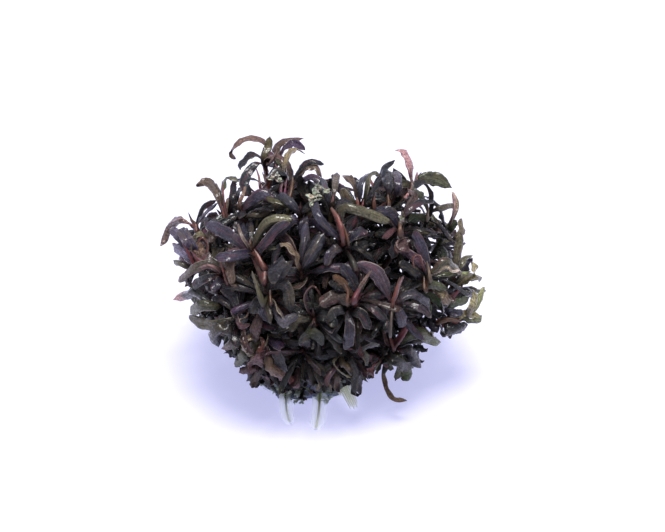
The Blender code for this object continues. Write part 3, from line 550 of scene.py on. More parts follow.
def stem_rings(shoot, margin=0.0):
    """Rings round the stem: at its foot, at its bend, then one between each two joints."""
    shares = [0, STEM_BEND] + [shoot.share_below_bud(k) for k in range(LEAF_SLOTS, -1, -1)]
    stations = [(s, between(STEM_FOOT_RADIUS, STEM_TOP_RADIUS, s) + margin) for s in shares]
    return tube_rings(shoot.stem, stations, STEM_SIDES)


def bud_tip(shoot, margin=0.0):
    tip, tangent = path_at(shoot.stem, 1)
    return tip + tangent * (STEM_BUD + margin)


def stem_room(shoot, margin):
    return skin(stem_rings(shoot, margin), bud_tip(shoot, margin))


def least_twist(corners, ring):
    """The ring's points in the order that turns the corners least on the way there."""
    turns = [ring[k:] + ring[:k] for k in range(len(ring))]
    return min(turns, key=lambda turn: sum((a - b).length for a, b in zip(corners, turn)))


def leaf_base(shoot, slot, ring):
    """The half of one side of a joint's stretch of stem that lies nearest to a leaf's first ring."""
    rings = stem_rings(shoot)
    lower, upper = rings[-2 - slot], rings[-1 - slot]
    halves = []
    for k in range(STEM_SIDES):
        after = (k + 1) % STEM_SIDES
        halves.append((lower[k], lower[after], upper[after]))
        halves.append((upper[after], upper[k], lower[k]))
    return min(halves, key=lambda half: (sum(half, Vector()) - sum(ring, Vector())).length)


def leaf_stages(leaf, margin=0.0):
    """The leaf's rings outside the stem, all turned so that it doesn't twist."""
    first = leaf_ring(leaf, leaf.stations[0])
    turn = first.index(least_twist(leaf.base, first)[0])
    rings = [leaf_ring(leaf, station, margin) for station in leaf.stations]
    return [ring[turn:] + ring[:turn] for ring in rings]


def own_room(leaf, margin):
    """The space that a leaf takes on its own shoot, from just off the stem to its tip."""
    stages = leaf_stages(leaf, margin)
    collar = [a.lerp(b, 0.06) for a, b in zip(leaf.base, stages[0])]
    return skin([collar, *stages], leaf.path[-1])


def leaf_room(leaf, margin):
    """The space that a leaf takes among the other shoots, from inside its stem, grown by margin."""
    middle = sum(leaf.base, Vector()) / 3
    base = [point + (point - middle).normalized() * margin * 1.5 for point in leaf.base]
    tip, tangent = path_at(leaf.path, 1)
    return skin([base, *leaf_stages(leaf, margin)], tip + tangent * margin)


def extrude_to(bm, face, ring):
    """Extrudes a face, moves its corners to the ring's points and returns it."""
    made = bmesh.ops.extrude_discrete_faces(bm, faces=[face])["faces"][0]
    for vert, point in zip(made.verts, ring):
        vert.co = point
    return made


def point_end(bm, face, tip):
    """Draws the end face of an extrusion out to a point."""
    poked = bmesh.ops.poke(bm, faces=[face])
    poked["verts"][0].co = tip


def nearest(items, place):
    """The vertex or face that lies nearest to a place."""
    return min(items, key=lambda item: (centre(item) - place).length)


def centre(item):
    return item.co if isinstance(item, bmesh.types.BMVert) else item.calc_center_median()


def extrude_leaf(bm, leaf, sides):
    """Draws a leaf out of the half of a stem side that it grows from."""
    halfway = (leaf.base[0] + leaf.base[2]) / 2
    quad = nearest(sides, halfway)
    ends = [nearest(quad.verts, leaf.base[k]) for k in (0, 2)]
    rest, _ = bmesh.utils.face_split(quad, *ends)
    face = nearest((quad, rest), sum(leaf.base, Vector()) / 3)
    corners = [vert.co for vert in face.verts]
    stages = leaf_stages(leaf)
    turned = least_twist(corners, stages[0])
    turn = stages[0].index(turned[0])
    for ring in stages:
        face = extrude_to(bm, face, ring[turn:] + ring[:turn])
    point_end(bm, face, leaf.path[-1])


def shoot_mesh(shoot):
    """The shoot as one solid: its stem is extruded ring by ring, and each leaf out of the stem."""
    bm = bmesh.new()
    rings = stem_rings(shoot)
    foot = [bm.verts.new(point) for point in rings[0]]
    face = bm.faces.new(foot)
    segments = []
    for ring in rings[1:]:
        face = extrude_to(bm, face, ring)
        segments.append([side for edge in face.edges for side in edge.link_faces if side != face])
    bm.faces.new(reversed(foot))
    point_end(bm, face, bud_tip(shoot))
    for slot, leaf in shoot.leaves.items():
        extrude_leaf(bm, leaf, segments[-1 - slot])
    bmesh.ops.recalc_face_normals(bm, faces=bm.faces[:])
    bmesh.ops.triangulate(bm, faces=bm.faces[:])
    return bm


def pierces(edge, face):
    """Whether the straight line between an edge's ends passes through a triangle."""
    start, stop = (vert.co for vert in edge.verts)
    corners = [vert.co for vert in face.verts]
    hit = intersect_ray_tri(*corners, stop - start, start)
    return hit is not None and (hit - start).dot(stop - start) < (stop - start).length_squared


def crosses_itself(bm):
    """Whether a triangle of the mesh passes through another one. It frees the mesh."""
    bm.faces.ensure_lookup_table()
    tree = BVHTree.FromBMesh(bm)
    crossed = False
    for a, b in tree.overlap(tree):
        one, other = bm.faces[a], bm.faces[b]
        shared = set(one.verts) & set(other.verts)
        if a == b or len(shared) > 1:
            continue
        far = [edge for edge in one.edges if not shared & set(edge.verts)]
        crossed = crossed or not shared or any(pierces(edge, other) for edge in far)
    bm.free()
    return crossed


def tree_of(solid):
    return BVHTree.FromPolygons(*solid)


class Room:
    """The space that is taken, to keep shoots apart from each other and from the mat."""

    def __init__(self):
        self.taken = {}

    def take(self, owner, solid):
        self.taken.setdefault(owner, []).append(tree_of(solid))

    def is_free(self, owner, solid):
        if min(point.z for point in solid[0]) < FLOOR_CLEARANCE - GAP:
            return False
        wanted = tree_of(solid)
        trees = (tree for name, found in self.taken.items() if name != owner for tree in found)
        return not any(tree.overlap(wanted) for tree in trees)

    def crossings(self, solid):
        """How many of the solids in here a new one would cross."""
        wanted = tree_of(solid)
        return sum(bool(tree.overlap(wanted)) for found in self.taken.values() for tree in found)


def mat_height(mat_tree, x, y):
    hit, _, _, _ = mat_tree.ray_cast(Vector((x, y, 0.1)), Vector((0, 0, -1)))
    return hit.z if hit else 0.0


def stem_path(foot, crown, lean):
    """Up from the foot, then out to the crown, which it reaches along lean."""
    span = (crown - foot).length
    knee = foot + Vector((0, 0, 0.30 * span))
    neck = crown - lean * 0.30 * span
    return smooth_path([foot, foot.lerp(knee, 0.6), knee.lerp(neck, 0.5), neck, crown], 17)


def grow_stem(name, crown, tone, room, mat_tree, rng):
    """A shoot with its stem on the mat, below its crown. Tries other feet until the stem has room."""
    lean = (outward(crown) * 0.5 + Vector((0, 0, 0.5))).normalized()
    flat = Vector((crown.x - CANOPY_CENTRE.x, crown.y - CANOPY_CENTRE.y))
    reach = Vector((flat.x / CANOPY_RADII.x, flat.y / CANOPY_RADII.y))
    for attempt in range(160):
        spread = 0.80 + rng.uniform(-0.05, 0.05) * attempt**0.5
        x = MAT_CENTRE.x + reach.x * spread * MAT_RADII.x + rng.uniform(-1, 1) * attempt * 0.1 * MM
        y = MAT_CENTRE.y + reach.y * spread * MAT_RADII.y + rng.uniform(-1, 1) * attempt * 0.1 * MM
        heights = [
            mat_height(mat_tree, x + STEM_FOOT_RADIUS * dx, y + STEM_FOOT_RADIUS * dy)
            for dx in (-1, 0, 1)
            for dy in (-1, 0, 1)
        ]
        if min(heights) < 3 * MM:
            continue
        foot = Vector((x, y, max(heights) + 2 * GAP))
        sway = Vector((rng.uniform(-1, 1), rng.uniform(-1, 1), 0)) * 0.02 * attempt**0.5
        shoot = Shoot(name, stem_path(foot, crown, (lean + sway).normalized()), tone)
        if room.is_free(name, stem_room(shoot, GAP)) and not crosses_itself(shoot_mesh(shoot)):
            room.take(name, stem_room(shoot, 0))
            return shoot
    return None


def read_leaf(shoot, slot, pixels, width, tone, nudge):
    """A leaf that follows its pixels, at the depth of the canopy. nudge moves its tip along the sight."""
    joint, _ = shoot.joint(slot)
    crown_distance = (shoot.stem[-1] - EYE).length
    points = [joint]
    for i, pixel in enumerate(pixels):
        share = (i + 1) / len(pixels)
        lift = (4.0 * math.sin(math.pi * share) - 5.0 * (1 - share) - 1.5 * share) * MM
        flat = (along_sight(pixel, crown_distance) - shoot.stem[-1]).length
        slope = 3.5 * MM + 0.25 * flat
        distance = canopy_distance(pixel, lift)
        distance = clamp(distance, crown_distance - slope, crown_distance + slope)
        points.append(along_sight(pixel, distance + nudge * share))
    chord = points[-1] - points[0]
    middle = points[len(points) // 2]
    bow = middle - (points[0] + points[-1]) / 2
    bow -= VIEW_IN * bow.dot(VIEW_IN)
    bow -= chord * (bow.dot(chord) / chord.dot(chord))
    curl = clamp(bow.length / chord.length * 3.0, 0, 1)
    true_width = max(width * PIXEL, between(2.6, 4.2, curl) * MM)
    roll = math.acos(clamp(width * PIXEL / true_width, 0.35, 1))
    edge = bow.normalized() if bow.length > 0.2 * MM else outward(middle)
    facing = -VIEW_IN * math.cos(roll) + edge * math.sin(roll)
    leaf = Leaf(points, chord.cross(facing), true_width, tone, READ_LEAF)
    leaf.pixels = tuple(pixels)
    return leaf


def whorl_leaf(shoot, slot, angle, length, width, rise, droop, tone):
    """A leaf that leaves the stem at rise from its axis and arches over to droop."""
    joint, axis = shoot.joint(slot)
    across = axis.orthogonal().normalized()
    radial = Matrix.Rotation(angle, 3, axis) @ across
    points = [joint]
    steps = 6
    for i in range(steps):
        turn = between(rise, droop, (i / (steps - 1)) ** 1.3)
        heading = axis * math.cos(turn) + radial * math.sin(turn)
        points.append(points[-1] + heading * length / steps)
    return Leaf(points, radial.cross(axis), width, tone, WHORL_LEAF)


def fits(shoot, slot, leaf, room):
    """Sets the leaf on its joint, if it is clear of the floor, of other shoots and of its own."""
    first = leaf_ring(leaf, leaf.stations[0])
    leaf.base = leaf_base(shoot, slot, first)
    away = (leaf.base[1] - leaf.base[0]).cross(leaf.base[2] - leaf.base[0]).normalized()
    if min((point - leaf.base[0]).dot(away) for point in first) < LEAST_SPLAY:
        return False
    if not room.is_free(shoot.name, leaf_room(leaf, 1.3 * GAP)):
        return False
    wanted = tree_of(own_room(leaf, 0.05 * MM))
    own = [stem_room(shoot, 0)] + [own_room(other, 0) for other in shoot.leaves.values()]
    if any(tree_of(solid).overlap(wanted) for solid in own):
        return False
    shoot.leaves[slot] = leaf
    if crosses_itself(shoot_mesh(shoot)):
        del shoot.leaves[slot]
        return False
    room.take(shoot.name, leaf_room(leaf, 0))
    return True


def grow_read_leaves(shoot, leaves, room):
    """The shoot's leaves that the photograph shows, each moved along the sight until it has room."""
    steps = [0, -1, 1, -2, 2, -3, 3, -4, 4, -6, 6]
    for tone, width, *pixels in leaves:
        tries = [(step, slot) for step in steps for slot in shoot.free_slots()]
        for step, slot in tries:
            narrowed = width * (1 - 0.04 * abs(step))
            leaf = read_leaf(shoot, slot, pixels, narrowed, tone, step * NUDGE)
            if fits(shoot, slot, leaf, room):
                break


def grow_whorl(shoot, count, room, rng):
    """Leaves all round the crown, by the golden angle, until the shoot has count of them."""
    start = rng.uniform(0, math.tau)
    for k in range(7 * count):
        if len(shoot.leaves) >= count:
            return
        slot = shoot.free_slots()[0]
        leaf = whorl_leaf(
            shoot,
            slot,
            angle=start + k * GOLDEN_ANGLE + rng.uniform(-0.3, 0.3),
            length=WHORL_LEAF_LENGTH * rng.uniform(0.85, 1.15) * (1 - 0.015 * k),
            width=WHORL_LEAF_WIDTH * rng.uniform(0.85, 1.2),
            rise=math.radians(rng.uniform(15, 32) + 4 * slot),
            droop=math.radians(rng.uniform(90, 155) + 4 * slot),
            tone=rng.choice(WHORL_TONES),
        )
        if canopy_reach(leaf.path[-1]) < 1.04 and leaf.is_inside():
            fits(shoot, slot, leaf, room)


def spread_crowns(taken, count):
    """Crowns all over the canopy, each put where the canopy is emptiest."""
    inner = CANOPY_RADII - Vector((1, 1, 1)) * CROWN_DEPTH
    places = []
    for k in range(CROWN_PLACES):
        height = 1 - 2 * (k + 0.5) / CROWN_PLACES
        ring = math.sqrt(1 - height * height)
        angle = k * GOLDEN_ANGLE
        way = Vector((ring * math.cos(angle), ring * math.sin(angle), height))
        place = CANOPY_CENTRE + Vector((a * b for a, b in zip(way, inner)))
        if place.z > LOWEST_CROWN and in_outline(place + Vector((0, 0, CROWN_DEPTH))):
            places.append(place)
    crowns = []
    for _ in range(count):
        near = taken + crowns
        crowns.append(max(places, key=lambda place: nearest_gap(place, near)))
    return crowns


def grow_shoots(mat_solid):
    """Every shoot, stems first, then the leaves of the photograph, then the whorls."""
    rng = random.Random(11)
    room = Room()
    room.take("mat", mat_solid)
    mat_tree = tree_of(mat_solid)
    for name, path, width in ROOTS:
        room.take(name, root_solid(root_path(path, mat_tree), width))
    crowns = {}
    for name, pixel, _, _ in NEAR_SHOOTS:
        crowns[name] = along_sight(pixel, canopy_distance(pixel, -CROWN_DEPTH))
    shoots, leaves = [], {}
    for name, _, tone, read in sorted(NEAR_SHOOTS, key=lambda near: crowns[near[0]].z):
        shoot = grow_stem("shoot_" + name, crowns[name], tone, room, mat_tree, rng)
        if shoot:
            shoots.append(shoot)
            leaves[shoot.name] = read
    taken = [shoot.stem[-1] for shoot in shoots]
    for crown in spread_crowns(taken, FAR_SHOOTS):
        name = f"shoot_back_{len(shoots) - len(taken) + 1:02d}"
        shoot = grow_stem(name, crown, "brown", room, mat_tree, rng)
        if shoot:
            shoots.append(shoot)
    for shoot in shoots:
        grow_read_leaves(shoot, leaves.get(shoot.name, ()), room)
    for shoot in shoots:
        grow_whorl(shoot, LEAVES_A_SHOOT, room, rng)
    return shoots, leaves, room


def root_path(path, mat_tree):
    """A root's middle line on the floor. It starts just off the mat."""
    points = [Vector((x, y, 0)) * MM for x, y in path]
    inward = (points[0] - points[1]).normalized()
    reaches = []
    for height in (0.5 * MM, 1.5 * MM, 2.5 * MM):
        hit = mat_tree.ray_cast(points[1] + Vector((0, 0, height)), inward)
        reaches.append(hit[3])
    points[0] = points[1] + inward * (min(reaches) - 1.5 * GAP)
    return smooth_path(points, 17)


def root_solid(points, width):
    """A root in its sleeve of hair, lying along the floor: flat below, round above, pointed."""
    rings = []
    for share, fullness in ((0.0, 0.62), (0.22, 0.95), (0.55, 1.0), (0.85, 0.72)):
        middle, tangent = path_at(points, share)
        across = tangent.cross(UP)
        half = width * MM * fullness / 2
        top = ROOT_HEIGHT * fullness * width * MM
        profile = ((-0.85, 0), (0.85, 0), (1.0, 0.4), (0.55, 0.92), (-0.55, 0.92), (-1.0, 0.4))
        rings.append([middle + across * half * s + Vector((0, 0, top * h)) for s, h in profile])
    return skin(rings, points[-1] + Vector((0, 0, 0.6 * MM)))


def mat_solid(segments=14, rings=8, grain=0.0):
    """The mat of rhizome and felted root: a lumpy dome, cut flat where it stands."""
    bm = bmesh.new()
    bmesh.ops.create_uvsphere(bm, u_segments=segments, v_segments=rings, radius=1)
    for vert in bm.verts:
        lump = noise.noise(vert.co * 2.6) + 0.5 * noise.noise(vert.co * 5.5)
        rough = vert.co * noise.noise(vert.co * 14) * grain
        vert.co = Vector((a * b for a, b in zip(vert.co, MAT_RADII))) + vert.co * lump * MAT_RELIEF
        vert.co += rough
        vert.co += MAT_HEART
    cut = bmesh.ops.bisect_plane(
        bm,
        geom=bm.verts[:] + bm.edges[:] + bm.faces[:],
        plane_co=(0, 0, 0),
        plane_no=(0, 0, -1),
        clear_outer=True,
    )
    rim = [item for item in cut["geom_cut"] if isinstance(item, bmesh.types.BMEdge)]
    bmesh.ops.holes_fill(bm, edges=rim)
    bmesh.ops.triangulate(bm, faces=bm.faces[:])
    bm.verts.index_update()
    points = [vert.co.copy() for vert in bm.verts]
    faces = [tuple(vert.index for vert in face.verts) for face in bm.faces]
    bm.free()
    return points, faces


# Fine form of the leaves. A grid is how many rings a leaf has, and how many points each ring
LEAF_GRID = (23, 18)
SMALL_LEAF_GRID = (10, 8)
WHORL_SLIMNESS = 0.82
YOUNG_TONES = ("pink", "tan", "straw", "red")
LOW_LEAVES = 42 * MM
LOW_LOOSENESS = 1.6
OLIVE_SIDE = 44 * MM
YOUNG_WIDTH = 3.2 * MM
YOUNG_SLIMNESS = 0.62
BLADE_THICKNESS = 0.32 * MM
RIM_THICKNESS = 0.07 * MM
RIB_DEPTH = 0.28 * MM
RIB_WIDTH = 0.42 * MM
GROOVE_DEPTH = 0.10 * MM
GROOVE_WIDTH = 0.30 * MM
SHEATH_FLARE = 0.75 * MM
SHEATH_LENGTH = 2.2 * MM
TIP_COLOURS = ((0.030, 0.016, 0.012), (0.030, 0.016, 0.012), (0.22, 0.19, 0.17))

# How full a leaf's outline is along it: shares of its length, then of its full width
READ_OUTLINE = ((0, 0.14, 0.24, 0.36, 0.50, 0.70, 0.84, 0.92),
                (0, 0.05, 0.42, 0.80, 0.94, 1.00, 0.98, 0.84))
WHORL_OUTLINE = ((0, 0.14, 0.25, 0.38, 0.52, 0.70, 0.83, 0.91),
                 (0, 0.04, 0.30, 0.62, 0.86, 1.00, 0.96, 0.78))
YOUNG_OUTLINE = ((0, 0.10, 0.30, 0.55, 0.80, 0.90),
                 (0.60, 0.75, 0.95, 1.00, 0.80, 0.55))
OVAL_OUTLINE = ((0, 0.12, 0.24, 0.34, 0.48, 0.64, 0.80, 0.90),
                (0, 0.03, 0.10, 0.50, 0.92, 1.00, 0.84, 0.52))
OVAL_WIDTH = 5.4 * MM
OVAL_SLIMNESS = 1.1
ROUND_TIP = ((0.962, 0.985, 1), (0.62, 0.38, 0.08))
POINTED_TIP = ((0.955, 0.98, 1), (0.22, 0.09, 0.04))
HOOKED_TIP = ((0.945, 0.965, 0.978, 1), (0.60, 0.26, 0.12, 0.05))

# Stems
STEM_TONES = {
    "red": (0.270, 0.062, 0.042),
    "pink": (0.620, 0.200, 0.160),
    "brown": (0.140, 0.055, 0.030),
    "olive": (0.130, 0.100, 0.040),
    "green": (0.060, 0.070, 0.026),
    "grey": (0.075, 0.058, 0.052),
}
STEM_FOOT_TONE = (0.020, 0.016, 0.012)
SPEAR_TONES = ("red", "rose", "tan", "brown", "pink")
TWIG_TONE = (0.035, 0.028, 0.020)

# Leaves too crowded or too small to be solids
INNER_LEAVES = 36
INNER_LENGTH = 16 * MM
INNER_WIDTH = 4.2 * MM
INNER_SPAN = (0.16, 1.0)
# Half of the inner leaves take the darkest tone: painted shade inside the canopy
INNER_TONES = ("dark", "violet", "dark", "grey", "dark", "olive", "dark", "rose")
SKIRT_LEAVES = 150
SKIRT_TONES = ("dark", "violet", "dark", "green", "grey", "brown")
FRAGMENTS = 170
FRAGMENT_TONES = ("dark", "green", "slate", "sage", "grey", "moss", "rose", "sage", "cream", "green")
SPRIGS = 20
SPRIG_SPACING = 12 * MM
SPRIG_LEAVES = 8
FEWEST_SPRIG_LEAVES = 4
SPRIG_TONES = ("violet", "grey", "brown", "olive", "dark")
SPRIG_COLUMNS = range(262, 446, 8)
SPRIG_LEAF_GRID = (14, 10)
SPEAR_LENGTH = 7.5 * MM
SPEAR_RADIUS = 0.62 * MM
SPEAR_RINGS = 16
SPEAR_SECTION = 14
SEAM_WIDTH = 0.35
STEM_SECTION = 10
STEM_RINGS = 40
STEM_INTO_MAT = 2.2 * MM
STEM_LIFT = 2.5 * MM
CURLED_LIFT = 3.5 * MM

# Curled and ragged leaves in front, by shoot: tone, width in pixels, then pixels from base to tip
CURLED_LEAVES = {
    "left_cup": (
        ("tan", 3, (233, 311), (235, 317), (241, 319), (247, 316), (249, 310)),
        ("grey", 13, (240, 313), (242, 319), (241, 326)),
        ("pale", 17, (262, 303), (265, 312), (270, 323)),
    ),
    "centre_left": (
        ("cream", 5, (275, 302), (279, 311), (284, 320)),
        ("pale", 9, (282, 321), (291, 318), (299, 313)),
        ("grey", 12, (287, 261), (279, 266), (274, 274), (274, 284)),
    ),
    "front_centre": (
        ("pale", 7, (294, 344), (298, 354), (308, 360), (318, 356), (323, 350)),
        ("pale", 5, (316, 374), (320, 367), (330, 368), (333, 372)),
        ("tan", 6, (318, 390), (320, 381), (330, 383), (331, 391)),
        ("pale", 4, (302, 384), (307, 379), (313, 384)),
    ),
    "centre_low": (("green", 10, (303, 343), (307, 334), (317, 334), (323, 345)),),
    "front_left": (
        ("straw", 8, (253, 336), (246, 338), (243, 346), (248, 355)),
        ("coral", 4, (253, 338), (261, 338), (264, 345), (256, 352)),
        ("red", 13, (254, 363), (257, 354), (266, 350)),
        ("fawn", 10, (270, 364), (276, 373), (284, 378)),
        ("straw", 3, (265, 345), (268, 338), (268, 333)),
    ),
    "bottom_left": (("red", 8, (286, 376), (293, 381), (300, 388)),),
    "front_low": (
        ("pale", 5, (352, 352), (362, 350), (370, 346), (380, 345)),
        ("violet", 7, (357, 374), (360, 384), (361, 394)),
        ("cream", 4, (334, 360), (338, 369), (346, 375), (352, 376)),
    ),
    "right_bud": (
        ("rose", 13, (401, 253), (403, 245), (410, 240)),
        ("blush", 3, (401, 251), (397, 244), (401, 239), (408, 238)),
    ),
    "right_spear": (
        ("red", 4, (421, 264), (419, 256), (413, 258), (414, 269)),
        ("cream", 3, (446, 267), (452, 271), (460, 270)),
        ("dark", 9, (417, 273), (408, 267), (399, 262)),
    ),
    "left_upper": (
        ("red", 4, (205, 256), (208, 246), (203, 238), (197, 246)),
        ("violet", 11, (193, 247), (187, 238), (181, 229)),
        ("pale", 11, (192, 258), (184, 251), (174, 245)),
        ("olive", 7, (190, 253), (191, 244), (197, 235)),
        ("fawn", 11, (201, 259), (199, 249), (200, 241)),
    ),
    "shoulder_left": (("blush", 3, (193, 228), (187, 221), (180, 219), (170, 224)),),
    "left_low": (("dark", 11, (229, 329), (219, 332), (214, 340), (219, 347)),),
    "right_low_fan": (
        ("dark", 12, (444, 324), (452, 331), (465, 325)),
        ("moss", 8, (465, 317), (471, 307), (475, 298), (472, 290)),
        ("olive", 6, (463, 319), (470, 321), (478, 320), (481, 315)),
        ("grey", 8, (448, 312), (456, 313), (463, 311)),
    ),
    "right_fan": (
        ("green", 9, (448, 303), (459, 302), (469, 297)),
        ("dark", 7, (450, 297), (460, 296), (470, 291)),
    ),
    "right_low": (
        ("dark", 11, (388, 356), (399, 362), (410, 368)),
        ("green", 11, (403, 366), (406, 373), (402, 380)),
    ),
    "upper_right_stem": (("dark", 10, (356, 252), (366, 247), (376, 243)),),
}

# Pixels of the leaf tips that are pink
PINK_TIPS = ((173, 300), (283, 380))

# Leaves narrower than their solids: pixel of the tip and width in pixels
SLIM_LEAVES = {(321, 296): 3.2, (250, 324): 6.0, (407, 401): 5.0, (172, 243): 5.0}

# Stems and rolled young leaves that show, by shoot: tone, width and pixels in the same way
SHOWN_STEMS = {
    "top_left": (
        ("coral", 3.5, (261, 190), (259, 178), (256, 168)),
        ("blush", 3.0, (269, 164), (276, 153), (277, 146)),
    ),
    "top_mid": (
        ("magenta", 6.5, (287, 205), (281, 192), (283, 182)),
        ("magenta", 3.5, (286, 206), (285, 196), (287, 176)),
        ("rust", 5.0, (288, 205), (291, 190), (293, 177)),
        ("moss", 6.5, (287, 217), (287, 210), (289, 202)),
    ),
    "crest_left": (
        ("red", 3.0, (228, 221), (225, 206), (223, 192), (222, 180)),
        ("coral", 3.5, (225, 222), (223, 211), (220, 202)),
    ),
    "shoulder_left": (("coral", 6.0, (198, 234), (195, 225), (190, 219)),),
    "left_upper": (
        ("wine", 3.5, (196, 268), (189, 254), (182, 241), (177, 231)),
        ("wine", 5.0, (199, 269), (203, 261), (208, 254)),
        ("wine", 4.5, (195, 269), (197, 262), (198, 255)),
        ("rust", 4.0, (203, 270), (209, 265), (215, 262)),
        ("wine", 6.0, (208, 268), (200, 262), (193, 254)),
        ("magenta", 3.0, (204, 262), (196, 257), (190, 250)),
    ),
    "left_mid": (
        ("coral", 5.0, (229, 283), (224, 272), (220, 261)),
        ("blush", 3.0, (219, 270), (209, 265), (198, 268)),
    ),
    "left_low": (("rust", 5.0, (238, 287), (232, 284), (230, 279)),),
    "mid_left": (
        ("coral", 5.5, (266, 270), (260, 259), (254, 249)),
        ("red", 7.0, (264, 284), (264, 276), (265, 268)),
    ),
    "centre_left": (
        ("moss", 6.0, (263, 305), (257, 287), (252, 271)),
        ("rust", 3.5, (271, 305), (270, 297), (270, 290)),
    ),
    "mid_stem": (
        ("coral", 6.5, (344, 242), (341, 228), (336, 216), (331, 207)),
        ("rust", 4.0, (349, 244), (346, 234), (343, 224)),
    ),
    "upper_right_stem": (
        ("coral", 4.5, (359, 210), (357, 197)),
        ("wine", 3.0, (361, 210), (364, 199)),
    ),
    "right_pair": (
        ("coral", 4.5, (375, 210), (374, 192)),
        ("rust", 4.0, (389, 210), (388, 194)),
    ),
    "right_bud": (
        ("rust", 6.5, (401, 236), (399, 221)),
        ("cream", 4.5, (400, 224), (402, 214)),
    ),
    "right_top": (("blush", 5.5, (413, 194), (412, 184), (411, 177)),),
    "far_right_top": (("tan", 4.0, (427, 221), (428, 211), (427, 202)),),
    "far_right": (
        ("rust", 4.0, (439, 232), (437, 221)),
        ("blush", 3.5, (452, 220), (454, 205), (452, 193)),
    ),
    "right_spear": (
        ("tan", 4.5, (431, 281), (429, 271), (427, 261)),
        ("rust", 4.0, (426, 292), (424, 283), (424, 276)),
    ),
    "centre_red": (
        ("wine", 7.0, (353, 303), (356, 294), (361, 287)),
        ("rust", 3.5, (347, 304), (348, 293), (344, 283)),
    ),
    "right_mauve": (
        ("coral", 4.5, (392, 308), (394, 297), (400, 277)),
        ("brown", 3.5, (390, 337), (391, 318), (392, 303)),
    ),
    "right_low": (
        ("wine", 6.0, (396, 346), (402, 336), (412, 321)),
        ("red", 4.0, (394, 350), (390, 336), (389, 320)),
    ),
    "right_trail": (("wine", 3.5, (387, 366), (379, 358), (370, 352)),),
    "right_fan": (("wine", 6.0, (447, 298), (455, 294), (463, 285)),),
    "right_low_fan": (("rust", 6.0, (438, 323), (447, 319), (460, 321)),),
    "front_centre": (("rust", 4.0, (332, 335), (333, 328), (334, 322)),),
}

# Pale green tufts among the leaves, by shoot: the pixel and the radius in pixels of each lobe
PALE_TUFTS = {
    "top_mid": ((272, 178, 2.6), (276, 176, 3.2), (279, 180, 2.6)),
    "top_pair": (
        (318, 187, 3.4), (325, 191, 3.2), (315, 192, 3.8), (310, 197, 4.2), (317, 198, 3.6), (311, 202, 3),
    ),
    "right_bud": ((401, 217, 2.4), (403, 220, 2.0)),
}

PETAL_COLOURS = ((0.40, 0.46, 0.34), (0.58, 0.60, 0.50), (0.50, 0.42, 0.38), (0.30, 0.36, 0.28))
TUFT_PETALS = 6

# Pale felted patches on the front of the mat: pixel, radius in pixels and colours
SAGE_FELT = ((0.50, 0.58, 0.42), (0.36, 0.44, 0.30), (0.58, 0.62, 0.50))
SLATE_FELT = ((0.22, 0.25, 0.40), (0.15, 0.18, 0.28), (0.34, 0.36, 0.46))
FELT_PATCHES = (
    (274, 388, 3.4, SAGE_FELT), (281, 389, 3.4, SAGE_FELT), (279, 395, 3.0, SLATE_FELT),
    (288, 396, 3.4, SLATE_FELT), (291, 390, 3.2, SAGE_FELT), (298, 393, 3.2, SAGE_FELT),
    (300, 399, 2.6, SAGE_FELT), (295, 402, 2.4, SAGE_FELT), (302, 402, 2.2, SAGE_FELT),
    (308, 393, 3.4, SLATE_FELT), (316, 394, 3.4, SLATE_FELT), (321, 398, 2.8, SAGE_FELT),
    (326, 401, 2.8, SAGE_FELT), (330, 398, 2.4, SAGE_FELT), (262, 384, 2.4, SAGE_FELT),
    (256, 379, 2.4, SAGE_FELT), (268, 380, 2.0, SLATE_FELT),
)

# Painted light and shade in leaf and stem colour: the share kept at the clump's heart, lost at its waist,
# gained at its crest and sides
HEART_LIGHT = 0.08
WAIST_LOSS = 0.65
CREST_GAIN = 0.7

# Share of the glossy coat on leaves at the floor, and the heights where it grows to all of it
LOW_COAT = 0.3
COAT_HEIGHTS = (10 * MM, 50 * MM)

# Light and camera. The camera's sensor is in its own unit, millimetres
SKY_COLOUR = (0.90, 0.90, 1.0, 1)
SKY_STRENGTH = 0.42
OVERHEAD_POWER = 12.5
OVERHEAD_SIZE = 0.55
OVERHEAD_COLOUR = (1.0, 0.98, 0.96)
OVERHEAD_PLACE = Vector((0.03, -0.14, 1.0))
OVERHEAD_TARGET = Vector((0, 0.02, 0.04))
FLOOR_GLOW = (0.43, 0.44, 0.71, 1)
SENSOR_WIDTH = 36

# Rhizome mat and root hair
MAT_SEGMENTS = 72
MAT_GRAIN = 0.5 * MM
STRANDS = 110
STRAND_RADIUS = 0.34 * MM
STRAND_COLOURS = ((0.10, 0.11, 0.08), (0.20, 0.22, 0.17), (0.07, 0.05, 0.04))
FUZZ_HAIRS = 4400
FUZZ_LENGTH = 3.0 * MM
FUZZ_COLOURS = ((0.50, 0.60, 0.46), (0.70, 0.75, 0.75), (0.40, 0.43, 0.62))
HAIR_RADIUS = 0.045 * MM
ROOT_HAIRS = 170
ROOT_HAIR_RADIUS = 0.03 * MM
ROOT_TUFT = 26
TUFT_RADIUS = 0.22 * MM
TUFT_COLOURS = ((0.36, 0.44, 0.26), (0.55, 0.60, 0.46), (0.24, 0.30, 0.20))
ROOT_HAIR_COLOUR = (0.96, 0.97, 0.98)

# Roots whose bare middle isn't thin and dark: tone where it leaves the mat, tone of its tip, radius
ROOT_AXES = {"root_front_right": ((0.36, 0.44, 0.16), (0.62, 0.68, 0.30), 0.62 * MM)}
GREEN_AXIS = ((0.10, 0.16, 0.04), (0.50, 0.58, 0.13), 0.46 * MM)

# Boxes of pixels, left, top, right and bottom, where the sky shows between the leaves, and how far
# in pixels the leaves that were not read keep from them
SKY_GAPS = (
    (197, 281, 208, 290), (213, 290, 219, 296), (253, 176, 258, 188), (264, 172, 272, 185),
    (242, 190, 250, 198), (306, 180, 312, 190), (341, 184, 350, 196), (362, 182, 369, 208),
    (420, 190, 426, 196), (418, 203, 426, 213), (430, 200, 440, 218),
)
GAP_MARGIN = 3

